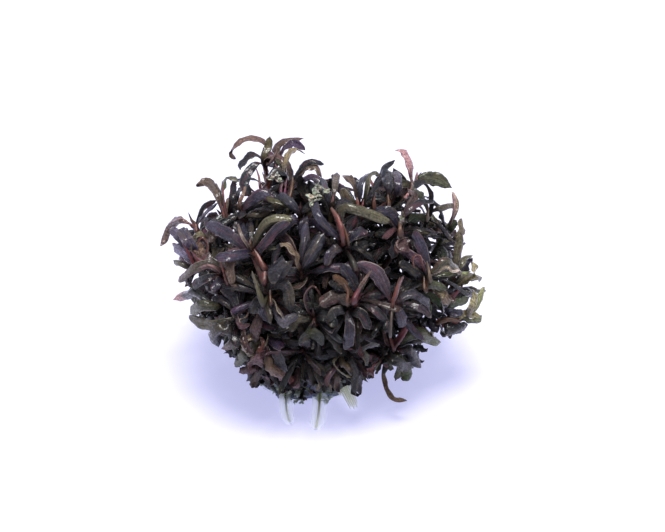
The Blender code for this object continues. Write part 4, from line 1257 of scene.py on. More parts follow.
# Boxes of pixels, left, top, right and bottom, where roots show and no low leaf hangs in front
SHOWN_ROOTS = (
    (337, 385, 360, 412), (282, 405, 300, 412), (312, 404, 332, 412), (266, 385, 287, 400),
    (310, 397, 334, 405),
)

# Pixel where the stub's young roots leave the mat
STUB_TOP = (344, 386)

# Young roots of the stub: sideways place and thickness in mm, share of the length, colour
STUB_FINGERS = (
    (-3.3, 0.62, 0.42, (0.46, 0.26, 0.27)),
    (-2.3, 0.34, 0.97, (0.95, 0.95, 0.94)),
    (-1.4, 0.40, 0.90, (0.70, 0.74, 0.54)),
    (-0.5, 0.42, 1.00, (0.84, 0.86, 0.72)),
    (0.4, 0.40, 0.94, (0.64, 0.70, 0.46)),
    (1.3, 0.42, 0.97, (0.86, 0.87, 0.78)),
    (2.2, 0.34, 0.84, (0.92, 0.92, 0.90)),
)


def smoothstep(low, high, value):
    share = np.clip((value - low) / (high - low), 0, 1)
    return share * share * (3 - 2 * share)


def unit(vectors):
    return vectors / np.linalg.norm(vectors, axis=-1, keepdims=True)


def direction(turn, height):
    """The unit vector that is turned so far about the upright and rises by an angle of height."""
    flat = math.cos(height)
    return Vector((flat * math.cos(turn), flat * math.sin(turn), math.sin(height)))


def in_boxes(point, boxes, margin=0):
    """Whether a point would be seen in one of the boxes of pixels, or within a margin of it."""
    x, y = photo_pixel(point)
    return any(
        left - margin < x < right + margin and top - margin < y < bottom + margin
        for left, top, right, bottom in boxes
    )


def new_object(name, data):
    """Puts a mesh, a light or a camera into the scene."""
    made = bpy.data.objects.new(name, data)
    bpy.context.scene.collection.objects.link(made)
    return made


def blend(a, b, share):
    """From a to b, where share has one value for each ring."""
    return np.asarray(a) + (np.asarray(b) - np.asarray(a)) * np.asarray(share)[..., None]


class Piece:
    """Gathers the closed sleeves of one piece, with their colours, and makes its object."""

    def __init__(self, name):
        self.name = name
        self.points, self.tones, self.places, self.faces, self.slots, self.cells = [], [], [], [], [], []
        self.count = 0

    def add(self, rings, tone, along=None, across=None, under=None, slot=0, seed=0.5, light=1.0):
        """Adds a sleeve over rings, an array of rings by sides by 3, closed flat at both ends."""
        many, sides = rings.shape[:2]
        place = np.zeros((many, sides, 4))
        place[..., 3] = light
        for channel, value in enumerate((along, across, under)):
            if value is not None:
                place[..., channel] = value
        colours = np.full((many, sides, 4), seed)
        colours[..., :3] = tone
        self.points.append(rings.reshape(-1, 3))
        self.tones.append(colours.reshape(-1, 4))
        self.places.append(place.reshape(-1, 4))
        self.faces.append((self.count, many, sides))
        self.slots.append(slot)
        self.count += many * sides

    def build(self, *materials):
        """The mesh object. Every sleeve has its own cell of the colour map."""
        corners, totals, slots, uvs = [], [], [], []
        columns = math.ceil(math.sqrt(2 * len(self.faces)))
        rows = math.ceil(len(self.faces) / columns)
        for k, (start, many, sides) in enumerate(self.faces):
            index = start + np.arange(many * sides).reshape(many, sides)
            turned = np.roll(index, -1, axis=1)
            quads = np.stack([index[:-1], turned[:-1], turned[1:], index[1:]], -1).reshape(-1, 4)
            corners += [quads.ravel(), index[0][::-1], index[-1]]
            totals += [np.full(len(quads), 4), [sides, sides]]
            slots.append(np.full(len(quads) + 2, self.slots[k]))
            cell = np.array([k % columns, k // columns])
            around = np.repeat(np.arange(sides)[None], many - 1, 0) / sides
            along = np.repeat(np.arange(many - 1)[:, None], sides, 1) / (many - 1)
            step = np.array([[0, 0], [1 / sides, 0], [1 / sides, 1 / (many - 1)], [0, 1 / (many - 1)]])
            grid = np.stack([around, along], -1).reshape(-1, 1, 2) + step
            ends = np.array([[0.5, 0.0]] * sides + [[0.5, 1.0]] * sides)
            local = np.concatenate([grid.reshape(-1, 2), ends])
            uvs.append((cell + 0.06 + 0.88 * local) / (columns, rows))
        mesh = bpy.data.meshes.new(self.name)
        corners, totals = np.concatenate(corners), np.concatenate(totals)
        mesh.vertices.add(self.count)
        mesh.vertices.foreach_set("co", np.concatenate(self.points).ravel())
        mesh.loops.add(len(corners))
        mesh.loops.foreach_set("vertex_index", corners)
        mesh.polygons.add(len(totals))
        mesh.polygons.foreach_set("loop_start", np.concatenate([[0], np.cumsum(totals)[:-1]]))
        mesh.polygons.foreach_set("material_index", np.concatenate(slots))
        mesh.update(calc_edges=True)
        mesh.shade_smooth()
        for layer, values in (("tone", self.tones), ("place", self.places)):
            made = mesh.color_attributes.new(layer, "FLOAT_COLOR", "POINT")
            made.data.foreach_set("color", np.concatenate(values).ravel())
        mesh.uv_layers.new(name="OFBake").uv.foreach_set("vector", np.concatenate(uvs).ravel())
        for material in materials:
            mesh.materials.append(material)
        mesh.validate()
        return new_object(self.name, mesh)


def frames(points, side):
    """Tangent, way across and way up at each point of a path, the way across kept near side."""
    tangent = unit(np.gradient(points, axis=0))
    across = unit(side - tangent * (tangent @ side)[:, None])
    return tangent, across, np.cross(across, tangent)


def turned_frames(points):
    """Tangent and two crossways at each point of a path, carried along it without twist."""
    tangent = unit(np.gradient(points, axis=0))
    start = Vector(tangent[0]).orthogonal().normalized()
    across = [np.array(start)]
    for way in tangent[1:]:
        last = across[-1] - way * (across[-1] @ way)
        across.append(last / np.linalg.norm(last))
    across = np.array(across)
    return tangent, across, np.cross(tangent, across)


def tube(points, radii, sides):
    """Rings round a path. radii has one value for each ring, or one for each point of each ring."""
    _, across, other = turned_frames(points)
    angle = np.linspace(0, math.tau, sides, endpoint=False)
    radii = np.asarray(radii, float)
    radii = radii[:, None] if radii.ndim == 1 else radii
    around = across[:, None] * np.cos(angle)[None, :, None] + other[:, None] * np.sin(angle)[None, :, None]
    return points[:, None] + around * radii[..., None]


def laid_out(points, across, up, x, z):
    """Rings of points that lie x across and z above each point of a path."""
    return points[:, None] + across[:, None] * x[..., None] + up[:, None] * z[..., None]


def painted_canopy_light(points):
    """Painted shade and light for each point's leaf or stem: darkest at the canopy's heart and waist, lighter
    at its crest and sides.
    """
    places = (points - np.array(CANOPY_CENTRE)) / np.array(CANOPY_RADII)
    depth = between(HEART_LIGHT, 1.0, smoothstep(0.60, 0.98, np.linalg.norm(places, axis=1)))
    height = (points - np.array(AIM)) @ np.array(VIEW_UP)
    behind = smoothstep(12 * MM, 32 * MM, points[:, 1]) * smoothstep(6 * MM, 24 * MM, height)
    depth = np.maximum(depth, behind)
    waist = np.exp(-((places[:, 0] / 0.55) ** 2)) * (1 - smoothstep(0.35, 0.85, places[:, 2]))
    crest = smoothstep(0.75, 1.1, places[:, 2]) + smoothstep(0.55, 0.95, np.abs(places[:, 0]))
    return depth * (1 - WAIST_LOSS * waist) * (1 + CREST_GAIN * crest)


def varied(tone, rng, amount):
    """A tone with its lightness and hue moved a little."""
    light = math.exp(rng.uniform(-amount, amount))
    return tuple(channel * light * math.exp(rng.uniform(-0.45, 0.45) * amount) for channel in tone)


def outline(shape, tip, u):
    """The half width's share along a leaf, smoothed between the given stations."""
    fine = np.linspace(0, 1, 201)
    full = np.interp(fine, shape[0] + tip[0], shape[1] + tip[1])
    window = np.hanning(9) / np.hanning(9).sum()
    return np.interp(u, fine, np.convolve(np.pad(full, 4, mode="edge"), window, "valid"))


def curled(points, side, amount):
    """The path with its outer half bent further down, by so many radians at the tip."""
    steps = np.diff(points, axis=0)
    turn = amount * smoothstep(0.55, 1.0, np.linspace(0, 1, len(steps))) ** 1.5
    cos, sin = np.cos(turn)[:, None], np.sin(turn)[:, None]
    along = steps * cos + np.cross(side, steps) * sin + side * (steps @ side)[:, None] * (1 - cos)
    return np.concatenate([points[:1], points[0] + np.cumsum(along, axis=0)])


def is_read(leaf):
    """Whether a leaf follows pixels of the photograph."""
    return leaf.stations is READ_LEAF


def is_young(leaf):
    """Whether it is one of the narrow leaves that are still partly rolled up."""
    return is_read(leaf) and leaf.tone in YOUNG_TONES and leaf.width < YOUNG_WIDTH


def looseness(leaf):
    """How much more than the others a low leaf bends and frays."""
    return LOW_LOOSENESS if leaf.path[-1].z < LOW_LEAVES else 1.0


def blade_path(leaf, u, rng):
    """A leaf's points, way across and way up at each share u of its length, and its length."""
    fine = np.array(smooth_path(leaf.path, 61))
    points = np.stack([np.interp(u, np.linspace(0, 1, 61), fine[:, k]) for k in range(3)], -1)
    length = np.linalg.norm(np.diff(points, axis=0), axis=1).sum()
    side, read, loose = np.array(leaf.side), is_read(leaf), looseness(leaf)
    if not read:
        points = curled(points, side, loose * rng.uniform(0.3, 1.0) * rng.choice((0.6, 2.2)))
        points = curled(points, frames(points, side)[2][len(u) // 2], rng.uniform(-1.0, 1.0))
    _, across, up = frames(points, side)
    roll = rng.uniform(-1, 1) * (0.2 if read else 0.6) * loose * np.sin(math.pi * u) * u
    roll += rng.uniform(-1, 1) * (0.3 if read else 0.9) * loose * u**3
    cos, sin = np.cos(roll)[:, None], np.sin(roll)[:, None]
    return points, across * cos + up * sin, up * cos - across * sin, length


def half_widths(leaf, u, length, rng):
    """Half of a leaf's width along it: the sheath, the stalk, then the blade up to its tip."""
    tip = rng.choice((ROUND_TIP, ROUND_TIP, HOOKED_TIP))
    if is_young(leaf):
        shape, slimness = YOUNG_OUTLINE, YOUNG_SLIMNESS
    elif is_read(leaf) and leaf.width > OVAL_WIDTH:
        shape, slimness, tip = OVAL_OUTLINE, OVAL_SLIMNESS, POINTED_TIP
    elif is_read(leaf):
        shape, slimness = READ_OUTLINE, 1
    else:
        shape, slimness = WHORL_OUTLINE, WHORL_SLIMNESS * rng.uniform(0.62, 1.15)
        slimness *= 0.85 if looseness(leaf) > 1 else 1
    blade = slimness * leaf.width / 2 * outline(shape, tip, u)
    flare = SHEATH_FLARE * np.exp(-(u * length / SHEATH_LENGTH) ** 2)
    stalk = PETIOLE_WIDTH / 2 * (1 - 0.75 * smoothstep(0.15, 1.0, u)) * (1 - 0.6 * smoothstep(0.9, 1, u))
    return np.maximum(blade, stalk) + flare


def blade_section(leaf, u, v, s, half, rng):
    """Places across and above a leaf's middle line: ribbed, folded, waved and ragged at the rim."""
    read, young, loose = is_read(leaf), is_young(leaf), looseness(leaf)
    flat = smoothstep(0.05, 0.32, u)[:, None]
    u = u[:, None]
    half = half[:, None]
    ragged = np.array([[rng.gauss(0, 1), rng.gauss(0, 1)] for _ in u])
    ragged = np.where(v > 0, ragged[:, :1], ragged[:, 1:]) * smoothstep(0.3, 0.5, u)
    ragged *= 0.3 if young else loose
    x = half * v * (1 + 0.05 * ragged)
    thickness = BLADE_THICKNESS * (1.9 if young else 1)
    mid = between(PETIOLE_WIDTH * 0.42, thickness / 2, flat)
    thick = RIM_THICKNESS / 2 + (mid - RIM_THICKNESS / 2) * np.abs(s) ** 0.8
    thick = between(mid * np.abs(s), thick, flat)
    z = np.sign(s) * thick * (1 - 0.7 * smoothstep(0.94, 1, u))
    keel = RIB_DEPTH * (1 - 0.8 * u) * np.exp(-((x / RIB_WIDTH) ** 2))
    groove = GROOVE_DEPTH * (1 - 0.5 * u) * np.exp(-((x / GROOVE_WIDTH) ** 2))
    z -= np.where(s < -0.01, keel, np.where(s > 0.01, groove, 0)) * flat
    camber = rng.choice((rng.uniform(0.0, 0.4), rng.uniform(0.4, 1.0))) * loose
    fold = rng.choice((rng.uniform(-0.35, 0.1), rng.uniform(0.2, 0.65 if read else 0.9)))
    if young:
        camber, fold = 0.1, 1.1
    z += half * flat * (fold * np.abs(v) - camber * v**2)
    waves, left, right = rng.uniform(1.8, 4.2), rng.uniform(0, math.tau), rng.uniform(0, math.tau)
    left_edge = np.sin(math.tau * waves * u + left)
    right_edge = np.sin(math.tau * waves * 1.13 * u + right)
    edge = np.where(v > 0, left_edge, right_edge)
    ripple = (0.06 if young else rng.uniform(0.10, 0.42)) * half * smoothstep(0.2, 0.45, u)
    return x, z + (ripple * edge * np.abs(v) ** 2.2 + 0.07 * half * ragged * v**2)


def blade_tones(leaf, u, petiole_tone, light, rng):
    """A leaf's colour along it, from its stalk to its dark or pale tip."""
    blade = np.array(varied(TONES[leaf.tone], rng, 0.25 if is_read(leaf) else 0.45))
    if looseness(leaf) > 1:
        blade = blade * ((1.25, 1.25, 1.15) if is_read(leaf) else (0.95, 1.0, 0.95))
    tone = blend(petiole_tone, blade, smoothstep(0.08, 0.36, u))
    tone *= between(0.75, 1.2, smoothstep(0.25, 0.85, u))[:, None]
    tone *= (1 + 0.25 * np.sin(math.tau * (rng.uniform(0.5, 1.3) * u + rng.random())))[:, None]
    hook = TIP_COLOURS[rng.randrange(len(TIP_COLOURS))]
    if leaf.pixels and leaf.pixels[-1] in PINK_TIPS:
        hook, tone = TONES["blush"], blend(tone, TONES["blush"], smoothstep(0.76, 0.86, u))
    return blend(tone, hook, smoothstep(0.965, 0.99, u)) * light


def add_leaf(piece, leaf, petiole_tone, rng, grid=LEAF_GRID):
    """One leaf as a thin closed blade on its petiole."""
    count, sides = grid
    u = 1 - (1 - np.linspace(0, 1, count)) ** 1.35
    angle = -np.arange(sides) / sides * math.tau
    v, s = np.cos(angle), np.sin(angle)
    points, across, up, length = blade_path(leaf, u, rng)
    half = half_widths(leaf, u, length, rng)
    x, z = blade_section(leaf, u, v, s, half, rng)
    rings = laid_out(points, across, up, x, z)

    # Painted light and shade from the point's place in the canopy: it darkens the leaf's colour
    light = painted_canopy_light(points)[:, None]
    tone = blade_tones(leaf, u, petiole_tone, light, rng)
    seed = 0.56 if is_young(leaf) else rng.uniform(0, 0.6 if looseness(leaf) > 1 else 1)
    # The glossy coat follows the painted shade too, thinner where the leaf is painted dark
    coat = np.minimum(light, 1) * between(LOW_COAT, 1, smoothstep(*COAT_HEIGHTS, points[:, 2]))[:, None]
    piece.add(rings, tone[:, None], u[:, None], (v + 1) / 2, (s < -0.01) * 1.0, seed=seed, light=coat)


def rolled_up(u, twist, rng):
    """Angles round a rolled leaf, and how far each is from its seam, which winds round by twist."""
    angle = np.linspace(0, math.tau, SPEAR_SECTION, endpoint=False)[None]
    seam = rng.uniform(0, math.tau) + twist * u[:, None]
    return angle, (angle - seam + math.pi) % math.tau - math.pi


def add_spear(piece, shoot, rng):
    """A young leaf, still rolled up, that stands at the bud."""
    base, way = path_at(shoot.stem, 1)
    tone = TONES[rng.choice(SPEAR_TONES)]
    lean = Vector((rng.uniform(-1, 1), rng.uniform(-1, 1), rng.uniform(-0.3, 0.6)))
    length = SPEAR_LENGTH * rng.uniform(0.7, 1.3)
    points = [base - way * 1.2 * MM]
    for _ in range(4):
        way = (way + lean * 0.10).normalized()
        points.append(points[-1] + way * length / 4)
    path = smooth_path(points, SPEAR_RINGS)
    u = np.linspace(0, 1, SPEAR_RINGS)
    radius = SPEAR_RADIUS * np.interp(u, (0, 0.15, 0.5, 0.8, 1), (1.35, 1.1, 0.85, 0.5, 0.08))
    _, off = rolled_up(u, 1.5, rng)
    rolled = 1 + 0.16 * off / math.pi - 0.30 * np.exp(-((off / SEAM_WIDTH) ** 2))
    rings = tube(np.array(path), radius[:, None] * rolled, SPEAR_SECTION)
    blade = varied(tone, rng, 0.2)
    shade = blend(np.array(blade) * 0.8, blade, smoothstep(0.1, 0.5, u))
    shade = blend(shade, TIP_COLOURS[0], smoothstep(0.95, 1, u))
    piece.add(rings, shade[:, None], along=0.3 + 0.4 * u[:, None], across=0.5)


def add_stem(piece, shoot, tone, rng, buried=STEM_INTO_MAT, girth=0.86):
    """The stem with a ring scar at each joint, from inside the mat to its bud."""
    path = [shoot.stem[0] - Vector((0, 0, buried))] + shoot.stem + [bud_tip(shoot)]
    points = np.array(smooth_path(path, STEM_RINGS))
    u = np.linspace(0, 1, STEM_RINGS)
    radius = between(STEM_FOOT_RADIUS, STEM_TOP_RADIUS, u) * girth
    joints = u * shoot.length / LEAF_SPACING + rng.random()
    radius = radius * (1 + 0.13 * np.cos(math.tau * joints) ** 7 + rng.uniform(-0.02, 0.02))
    radius *= np.interp(u, (0, 0.95, 0.985, 1), (1, 1, 0.6, 0.12))
    rings = tube(points, radius, STEM_SECTION)
    colour = blend(STEM_FOOT_TONE, varied(tone, rng, 0.15), smoothstep(0.5, 0.85, u))
    # Painted shade: the stem is darkened, less than a leaf, where the canopy is painted dark
    colour = colour * painted_canopy_light(points)[:, None] ** 0.5
    piece.add(rings, colour[:, None], along=u[:, None], across=0.5, slot=1)


def nearest_on_stem(shoot, point):
    return min(shoot.stem[6:], key=lambda place: (place - point).length)


def add_shown_stem(piece, shoot, reading, rng):
    """A stem or a rolled young leaf in front of the crown, joined to the shoot's own stem."""
    tone, width, *pixels = reading
    crown_distance = (shoot.stem[-1] - EYE).length
    shown = []
    for pixel in pixels:
        flat = (along_sight(pixel, crown_distance) - shoot.stem[-1]).length
        closest = crown_distance - 8 * MM - 0.3 * flat
        shown.append(along_sight(pixel, clamp(canopy_distance(pixel, STEM_LIFT), closest, crown_distance)))
    root = nearest_on_stem(shoot, shown[0])
    points = np.array(smooth_path([root, root.lerp(shown[0], 0.6), *shown], 24))
    reach = np.concatenate([[0], np.cumsum(np.linalg.norm(np.diff(points, axis=0), axis=1))])
    hidden = (shown[0] - root).length
    u = np.clip((reach - hidden) / (reach[-1] - hidden), 0, 1)
    joints = reach / (LEAF_SPACING * rng.uniform(0.8, 1.3)) + rng.random()
    radius = width * PIXEL / 2 * np.interp(u, (0, 0.25, 0.6, 0.9, 1), (0.70, 0.86, 0.62, 0.32, 0.06))
    radius *= 1 + 0.16 * np.cos(math.tau * joints) ** 5
    angle, off = rolled_up(u, 1.2, rng)
    rolled = 1 + 0.28 * off / math.pi - 0.42 * np.exp(-((off / SEAM_WIDTH) ** 2)) + 0.08 * np.cos(3 * off)
    rolled = rolled * (1 + 0.22 * np.cos(2 * (angle - 3 * u[:, None])))
    rings = tube(points, radius[:, None] * rolled, SPEAR_SECTION)
    colour = varied(TONES[tone], rng, 0.12)
    shade = blend(np.array(colour) * 0.35, colour, smoothstep(0.0, 0.6, u))
    worn = np.array(colour) * 0.35 + np.array((0.05, 0.042, 0.034))
    shade = blend(shade, worn, smoothstep(0.5, 1, u))
    piece.add(rings, shade[:, None], along=0.3 + 0.4 * u[:, None], across=0.5, slot=1)


def curled_leaf(shoot, reading):
    """A leaf that follows its pixels a little in front of the others."""
    tone, width, *pixels = reading
    leaf = read_leaf(shoot, 0, pixels, width, tone, 0)
    leaf.path = [point - VIEW_IN * CURLED_LIFT * min(1, k / 8) for k, point in enumerate(leaf.path)]
    leaf.width = width * PIXEL
    return leaf


def add_tuft(piece, shoot, lobes, rng):
    """Small pale crinkled petals, crowded together on a stalk."""
    middles = [along_sight((x, y), canopy_distance((x, y), 0)) for x, y, _ in lobes]
    head = sum(middles, Vector()) / len(middles)
    foot = nearest_on_stem(shoot, head)
    stalk = smooth_path([foot, foot.lerp(head, 0.5) + Vector((0, 0, 1 * MM)), head], 16)
    piece.add(tube(np.array(stalk), np.full(16, 0.4 * MM), 8), np.array(TONES["moss"]), slot=1)
    for middle, (_, _, radius) in zip(middles, lobes):
        add_petals(piece, middle, radius * PIXEL, PETAL_COLOURS, rng)


def add_petals(piece, middle, radius, colours, rng):
    """A cluster of small crinkled petals round a point."""
    for _ in range(TUFT_PETALS):
        way = Vector((rng.gauss(0, 1), rng.gauss(-0.5, 0.7), rng.gauss(0.5, 1))).normalized()
        turn = Vector((rng.gauss(0, 1), rng.gauss(0, 1), rng.gauss(0, 1))).normalized()
        reach = radius * rng.uniform(0.9, 1.5)
        points = [middle - way * reach * 0.8]
        for _ in range(4):
            way = (way + turn * 0.35).normalized()
            points.append(points[-1] + way * reach * 0.45)
        points = [Vector((point.x, point.y, max(point.z, 0.8 * MM))) for point in points]
        side = way.cross(turn)
        path = np.array(smooth_path(points, 6))
        _, across, up = frames(path, np.array(side))
        u = np.linspace(0, 1, len(path))
        half = radius * rng.uniform(0.45, 0.7) * np.interp(u, (0, 0.5, 0.85, 1), (0.3, 1, 0.8, 0.15))[:, None]
        angle = -np.arange(8) / 8 * math.tau
        crimp = np.array([[rng.uniform(-0.25, 0.25) for _ in angle] for _ in u])
        x = half * np.cos(angle)
        z = np.sin(angle) * 0.1 * MM + half * (crimp * np.abs(np.cos(angle)) + 0.4 * np.cos(angle) ** 2)
        rings = laid_out(path, across, up, x, z)
        rings[..., 2] = np.maximum(rings[..., 2], 0.2 * MM)
        piece.add(rings, np.array(varied(rng.choice(colours), rng, 0.2)), along=u[:, None], slot=1)


class Wire:
    """One output of a node. Arithmetic on wires and numbers adds Math nodes."""

    def __init__(self, finish, socket):
        self.finish = finish
        self.socket = socket

    def math(self, operation, *others):
        return self.finish.math(operation, self, *others)

    def __add__(self, other):
        return self.math("ADD", other)

    __radd__ = __add__

    def __mul__(self, other):
        return self.math("MULTIPLY", other)

    __rmul__ = __mul__

    def __sub__(self, other):
        return self.math("SUBTRACT", other)

    def __rsub__(self, other):
        return self.finish.math("SUBTRACT", other, self)

    def __abs__(self):
        return self.math("ABSOLUTE")


class Finish:
    """A material, with its nodes. self.shader is its Principled BSDF."""

    def __init__(self, name, **fixed):
        self.material = bpy.data.materials.new(name)
        self.material.use_nodes = True
        self.tree = self.material.node_tree
        self.shader = self.tree.nodes["Principled BSDF"]
        for socket, value in fixed.items():
            self.shader.inputs[socket.replace("_", " ").title().replace("Ior", "IOR")].default_value = value

    def node(self, kind, settings=None, inputs=None, output=0):
        """Adds a node: first its settings, then values or wires for its sockets, by identifier."""
        node = self.tree.nodes.new(kind)
        for setting, value in (settings or {}).items():
            setattr(node, setting, value)
        sockets = {socket.identifier: socket for socket in node.inputs}
        for name, value in (inputs or {}).items():
            self.feed(sockets[name], value)
        return Wire(self, node.outputs[output])

    def feed(self, socket, value):
        """Gives a socket its wire, or its value."""
        if isinstance(value, Wire):
            self.tree.links.new(value.socket, socket)
        else:
            socket.default_value = value

    def set(self, socket, value):
        self.feed(self.shader.inputs[socket], value)

    def math(self, operation, *values):
        names = ("Value", "Value_001", "Value_002")
        return self.node("ShaderNodeMath", {"operation": operation}, dict(zip(names, values)))

    def step(self, value, low, high):
        """0 below low, 1 above high and a smooth rise between."""
        return self.node(
            "ShaderNodeMapRange",
            {"interpolation_type": "SMOOTHSTEP"},
            {"Value": value, "From Min": low, "From Max": high},
        )

    def noise(self, size, detail=2.0, stretch=(1, 1, 1), place=None):
        """Noise, about 0.3 to 0.7, with spots of a size in metres."""
        place = place or self.node("ShaderNodeTexCoord", output=3)
        place = self.node("ShaderNodeMapping", None, {"Vector": place, "Scale": stretch})
        inputs = {"Vector": place, "Scale": 1 / size, "Detail": detail}
        return self.node("ShaderNodeTexNoise", None, inputs)

    def attribute(self, name, output=0):
        return self.node("ShaderNodeAttribute", {"attribute_name": name}, output=output)

    def split(self, colour):
        """Wires of the red, green and blue of a colour."""
        red = self.node("ShaderNodeSeparateColor", None, {"Color": colour})
        return [Wire(self, socket) for socket in red.socket.node.outputs]

    def mix(self, a, b, share):
        """The colour that goes from a to b by a share."""
        a, b = (value if isinstance(value, Wire) else (*value, 1) for value in (a, b))
        inputs = {"A_Color": a, "B_Color": b, "Factor_Float": share}
        return self.node("ShaderNodeMix", {"data_type": "RGBA"}, inputs, output=2)

    def scaled(self, colour, factor):
        return self.node("ShaderNodeVectorMath", {"operation": "SCALE"}, {"Vector": colour, "Scale": factor})

    def bump(self, height, depth, strength=1.0):
        inputs = {"Height": height, "Distance": depth, "Strength": strength}
        self.set("Normal", self.node("ShaderNodeBump", None, inputs))


def leaf_skin():
    """Glossy leathery leaf: crinkled and mottled, with lengthwise veins, painted speckles of sheen and a pale
    thin rim that is partly painted rim light.
    """
    leaf = Finish("leaf_skin", ior=1.45, specular_ior_level=0.36, coat_roughness=0.10)
    tone = leaf.attribute("tone")
    seed = leaf.attribute("tone", 3)
    # The place's fourth channel is the coat's share, which follows the painted canopy shade
    light = leaf.attribute("place", 3)
    along, across, under = leaf.split(leaf.attribute("place"))
    off_rib = abs(across - 0.5) * 2
    spread = leaf.node("ShaderNodeCombineXYZ", None, {"X": across, "Y": along, "Z": seed * 40})
    streaks = leaf.noise(1, 4, (13, 3.2, 1), spread)
    patches = leaf.noise(1, 3, (2.2, 2.6, 1), spread)
    crinkles = leaf.noise(1.1 * MM, 4)
    sheen_speckles = leaf.step(leaf.noise(0.7 * MM, 3), 0.42, 0.62)
    blade = leaf.step(along, 0.16, 0.34)
    veins = leaf.math("SINE", off_rib * 30 + streaks * 5) * 0.5 + 0.5
    colour = leaf.scaled(tone, leaf.step(streaks, 0.30, 0.70) * 0.9 + 0.55)
    # Fine speckles lighten the colour: a painted sheen of small glints. They also lower the roughness and
    # raise the coat
    colour = leaf.scaled(colour, leaf.step(crinkles, 0.34, 0.62) * 0.45 + sheen_speckles * 0.8 + 0.55)
    colour = leaf.scaled(colour, 1.1 - veins * blade * 0.40)
    olive = leaf.step(patches, 0.50, 0.64) * leaf.step(along, 0.2, 0.6) * (1 - leaf.step(seed, 0.4, 0.7))
    colour = leaf.mix(colour, leaf.mix(tone, (0.14, 0.105, 0.055), 0.5), olive * 0.5)
    magenta = (1 - leaf.step(patches, 0.36, 0.46)) * leaf.step(seed, 0.45, 0.8)
    colour = leaf.mix(colour, leaf.mix(tone, (0.14, 0.030, 0.045), 0.5), magenta * 0.6)
    rib = (1 - leaf.step(off_rib, 0.03, 0.14)) * blade
    colour = leaf.mix(colour, (0.120, 0.055, 0.045), rib * (1 - along) * 0.5)
    # The pale rim is partly the leaf's own pale margin and partly painted rim light, where the edge catches
    # the light
    rim = leaf.step(off_rib, 0.80, 0.95) * blade * leaf.step(streaks, 0.44, 0.60)
    colour = leaf.mix(colour, leaf.mix(tone, (0.62, 0.48, 0.40), 0.5), rim * leaf.step(seed, 0.3, 0.9) * 0.7)
    colour = leaf.mix(colour, (0.050, 0.044, 0.044), under * light * 0.3)
    leaf.set("Base Color", colour)
    leaf.set("Roughness", 0.50 - sheen_speckles * 0.25 + under * 0.15)
    leaf.set("Coat Weight", light * (sheen_speckles * 0.7 + 0.2))
    leaf.bump(veins * blade * 0.4 + streaks * 1.2 + crinkles * 1.6 + sheen_speckles * 0.4, 0.22 * MM, 1.0)
    return leaf.material


def stem_skin():
    """Fleshy stem, streaked lengthwise, with brown blotches."""
    stem = Finish("stem_skin", ior=1.45, coat_weight=0.2, coat_roughness=0.2)
    streaks = stem.noise(0.6 * MM, 3, (1, 1, 0.25))
    patches = stem.noise(1.6 * MM, 3)
    colour = stem.scaled(stem.attribute("tone"), 0.20 + streaks * 0.9 + patches * 0.7)
    colour = stem.mix(colour, (0.045, 0.034, 0.022), stem.step(patches, 0.50, 0.62) * 0.65)
    stem.set("Base Color", colour)
    stem.set("Roughness", 0.34 + streaks * 0.25)
    stem.bump(streaks + patches, 0.3 * MM, 0.8)
    return stem.material


def rhizome_skin():
    """Dark knotted rhizome, matted with felt in grey green, pale green and slate blue."""
    rhizome = Finish("rhizome_skin")
    lumps = rhizome.noise(3.5 * MM, 4)
    fields = rhizome.noise(6 * MM, 2)
    fibres = rhizome.noise(0.5 * MM, 4, (1, 0.35, 1))
    felt = rhizome.mix((0.26, 0.31, 0.24), (0.17, 0.19, 0.33), rhizome.step(fields, 0.46, 0.56))
    colour = rhizome.mix((0.020, 0.024, 0.022), felt, rhizome.step(lumps, 0.38, 0.54))
    colour = rhizome.mix(colour, (0.34, 0.40, 0.29), rhizome.step(fibres, 0.50, 0.66) * 0.6)
    rhizome.set("Base Color", colour)
    rhizome.set("Roughness", 0.65 + fibres * 0.3)
    rhizome.bump(fibres + lumps, 0.5 * MM, 0.8)
    return rhizome.material


def root_skin():
    """Pale, slightly see-through root."""
    root = Finish("root_skin", ior=1.4, coat_weight=0.15, coat_roughness=0.3)
    streaks = root.noise(0.6 * MM, 3)
    root.set("Base Color", root.scaled(root.attribute("tone"), 0.7 + streaks * 0.6))
    root.set("Roughness", 0.35 + streaks * 0.2)
    root.bump(streaks, 0.1 * MM, 0.5)
    return root.material


def young_root_skin():
    """Pale young root that lets some light through, with a faint painted glow from its emission."""
    glow = (0.58, 0.60, 0.58, 1)
    # Painted glow: a faint emission so that the young roots read light in the clump's shade
    root = Finish("young_root_skin", roughness=0.3, emission_color=glow, emission_strength=0.25)
    streaks = root.noise(0.6 * MM, 3)
    root.set("Base Color", root.scaled(root.attribute("tone"), 0.7 + streaks * 0.6))
    root.set("Coat Weight", 0.2 + streaks * 0.5)
    root.bump(streaks, 0.1 * MM, 0.5)
    see_through(root, (0.94, 0.95, 0.92, 1), 0.35)
    return root.material


def see_through(finish, colour, share):
    """Lets a share of the light through the surface, as fine white hair and thin film do."""
    through = finish.node("ShaderNodeBsdfTranslucent", None, {"Color": colour})
    surface = Wire(finish, finish.shader.outputs[0])
    inputs = {"Fac": share, "Shader": surface, "Shader_001": through}
    shown = finish.node("ShaderNodeMixShader", None, inputs)
    finish.tree.links.new(shown.socket, finish.tree.nodes["Material Output"].inputs["Surface"])


def hair_skin():
    """Fine pale root hair, which shows half of its light as a glow from behind."""
    hairs = Finish("hair_skin")
    patches = hairs.noise(2.5 * MM, 2)
    colour = hairs.scaled(hairs.attribute("tone"), 0.85 + patches * 0.3)
    hairs.set("Base Color", colour)
    hairs.set("Roughness", 0.5 + patches * 0.2)
    see_through(hairs, (0.9, 0.92, 0.92, 1), 0.5)
    return hairs.material


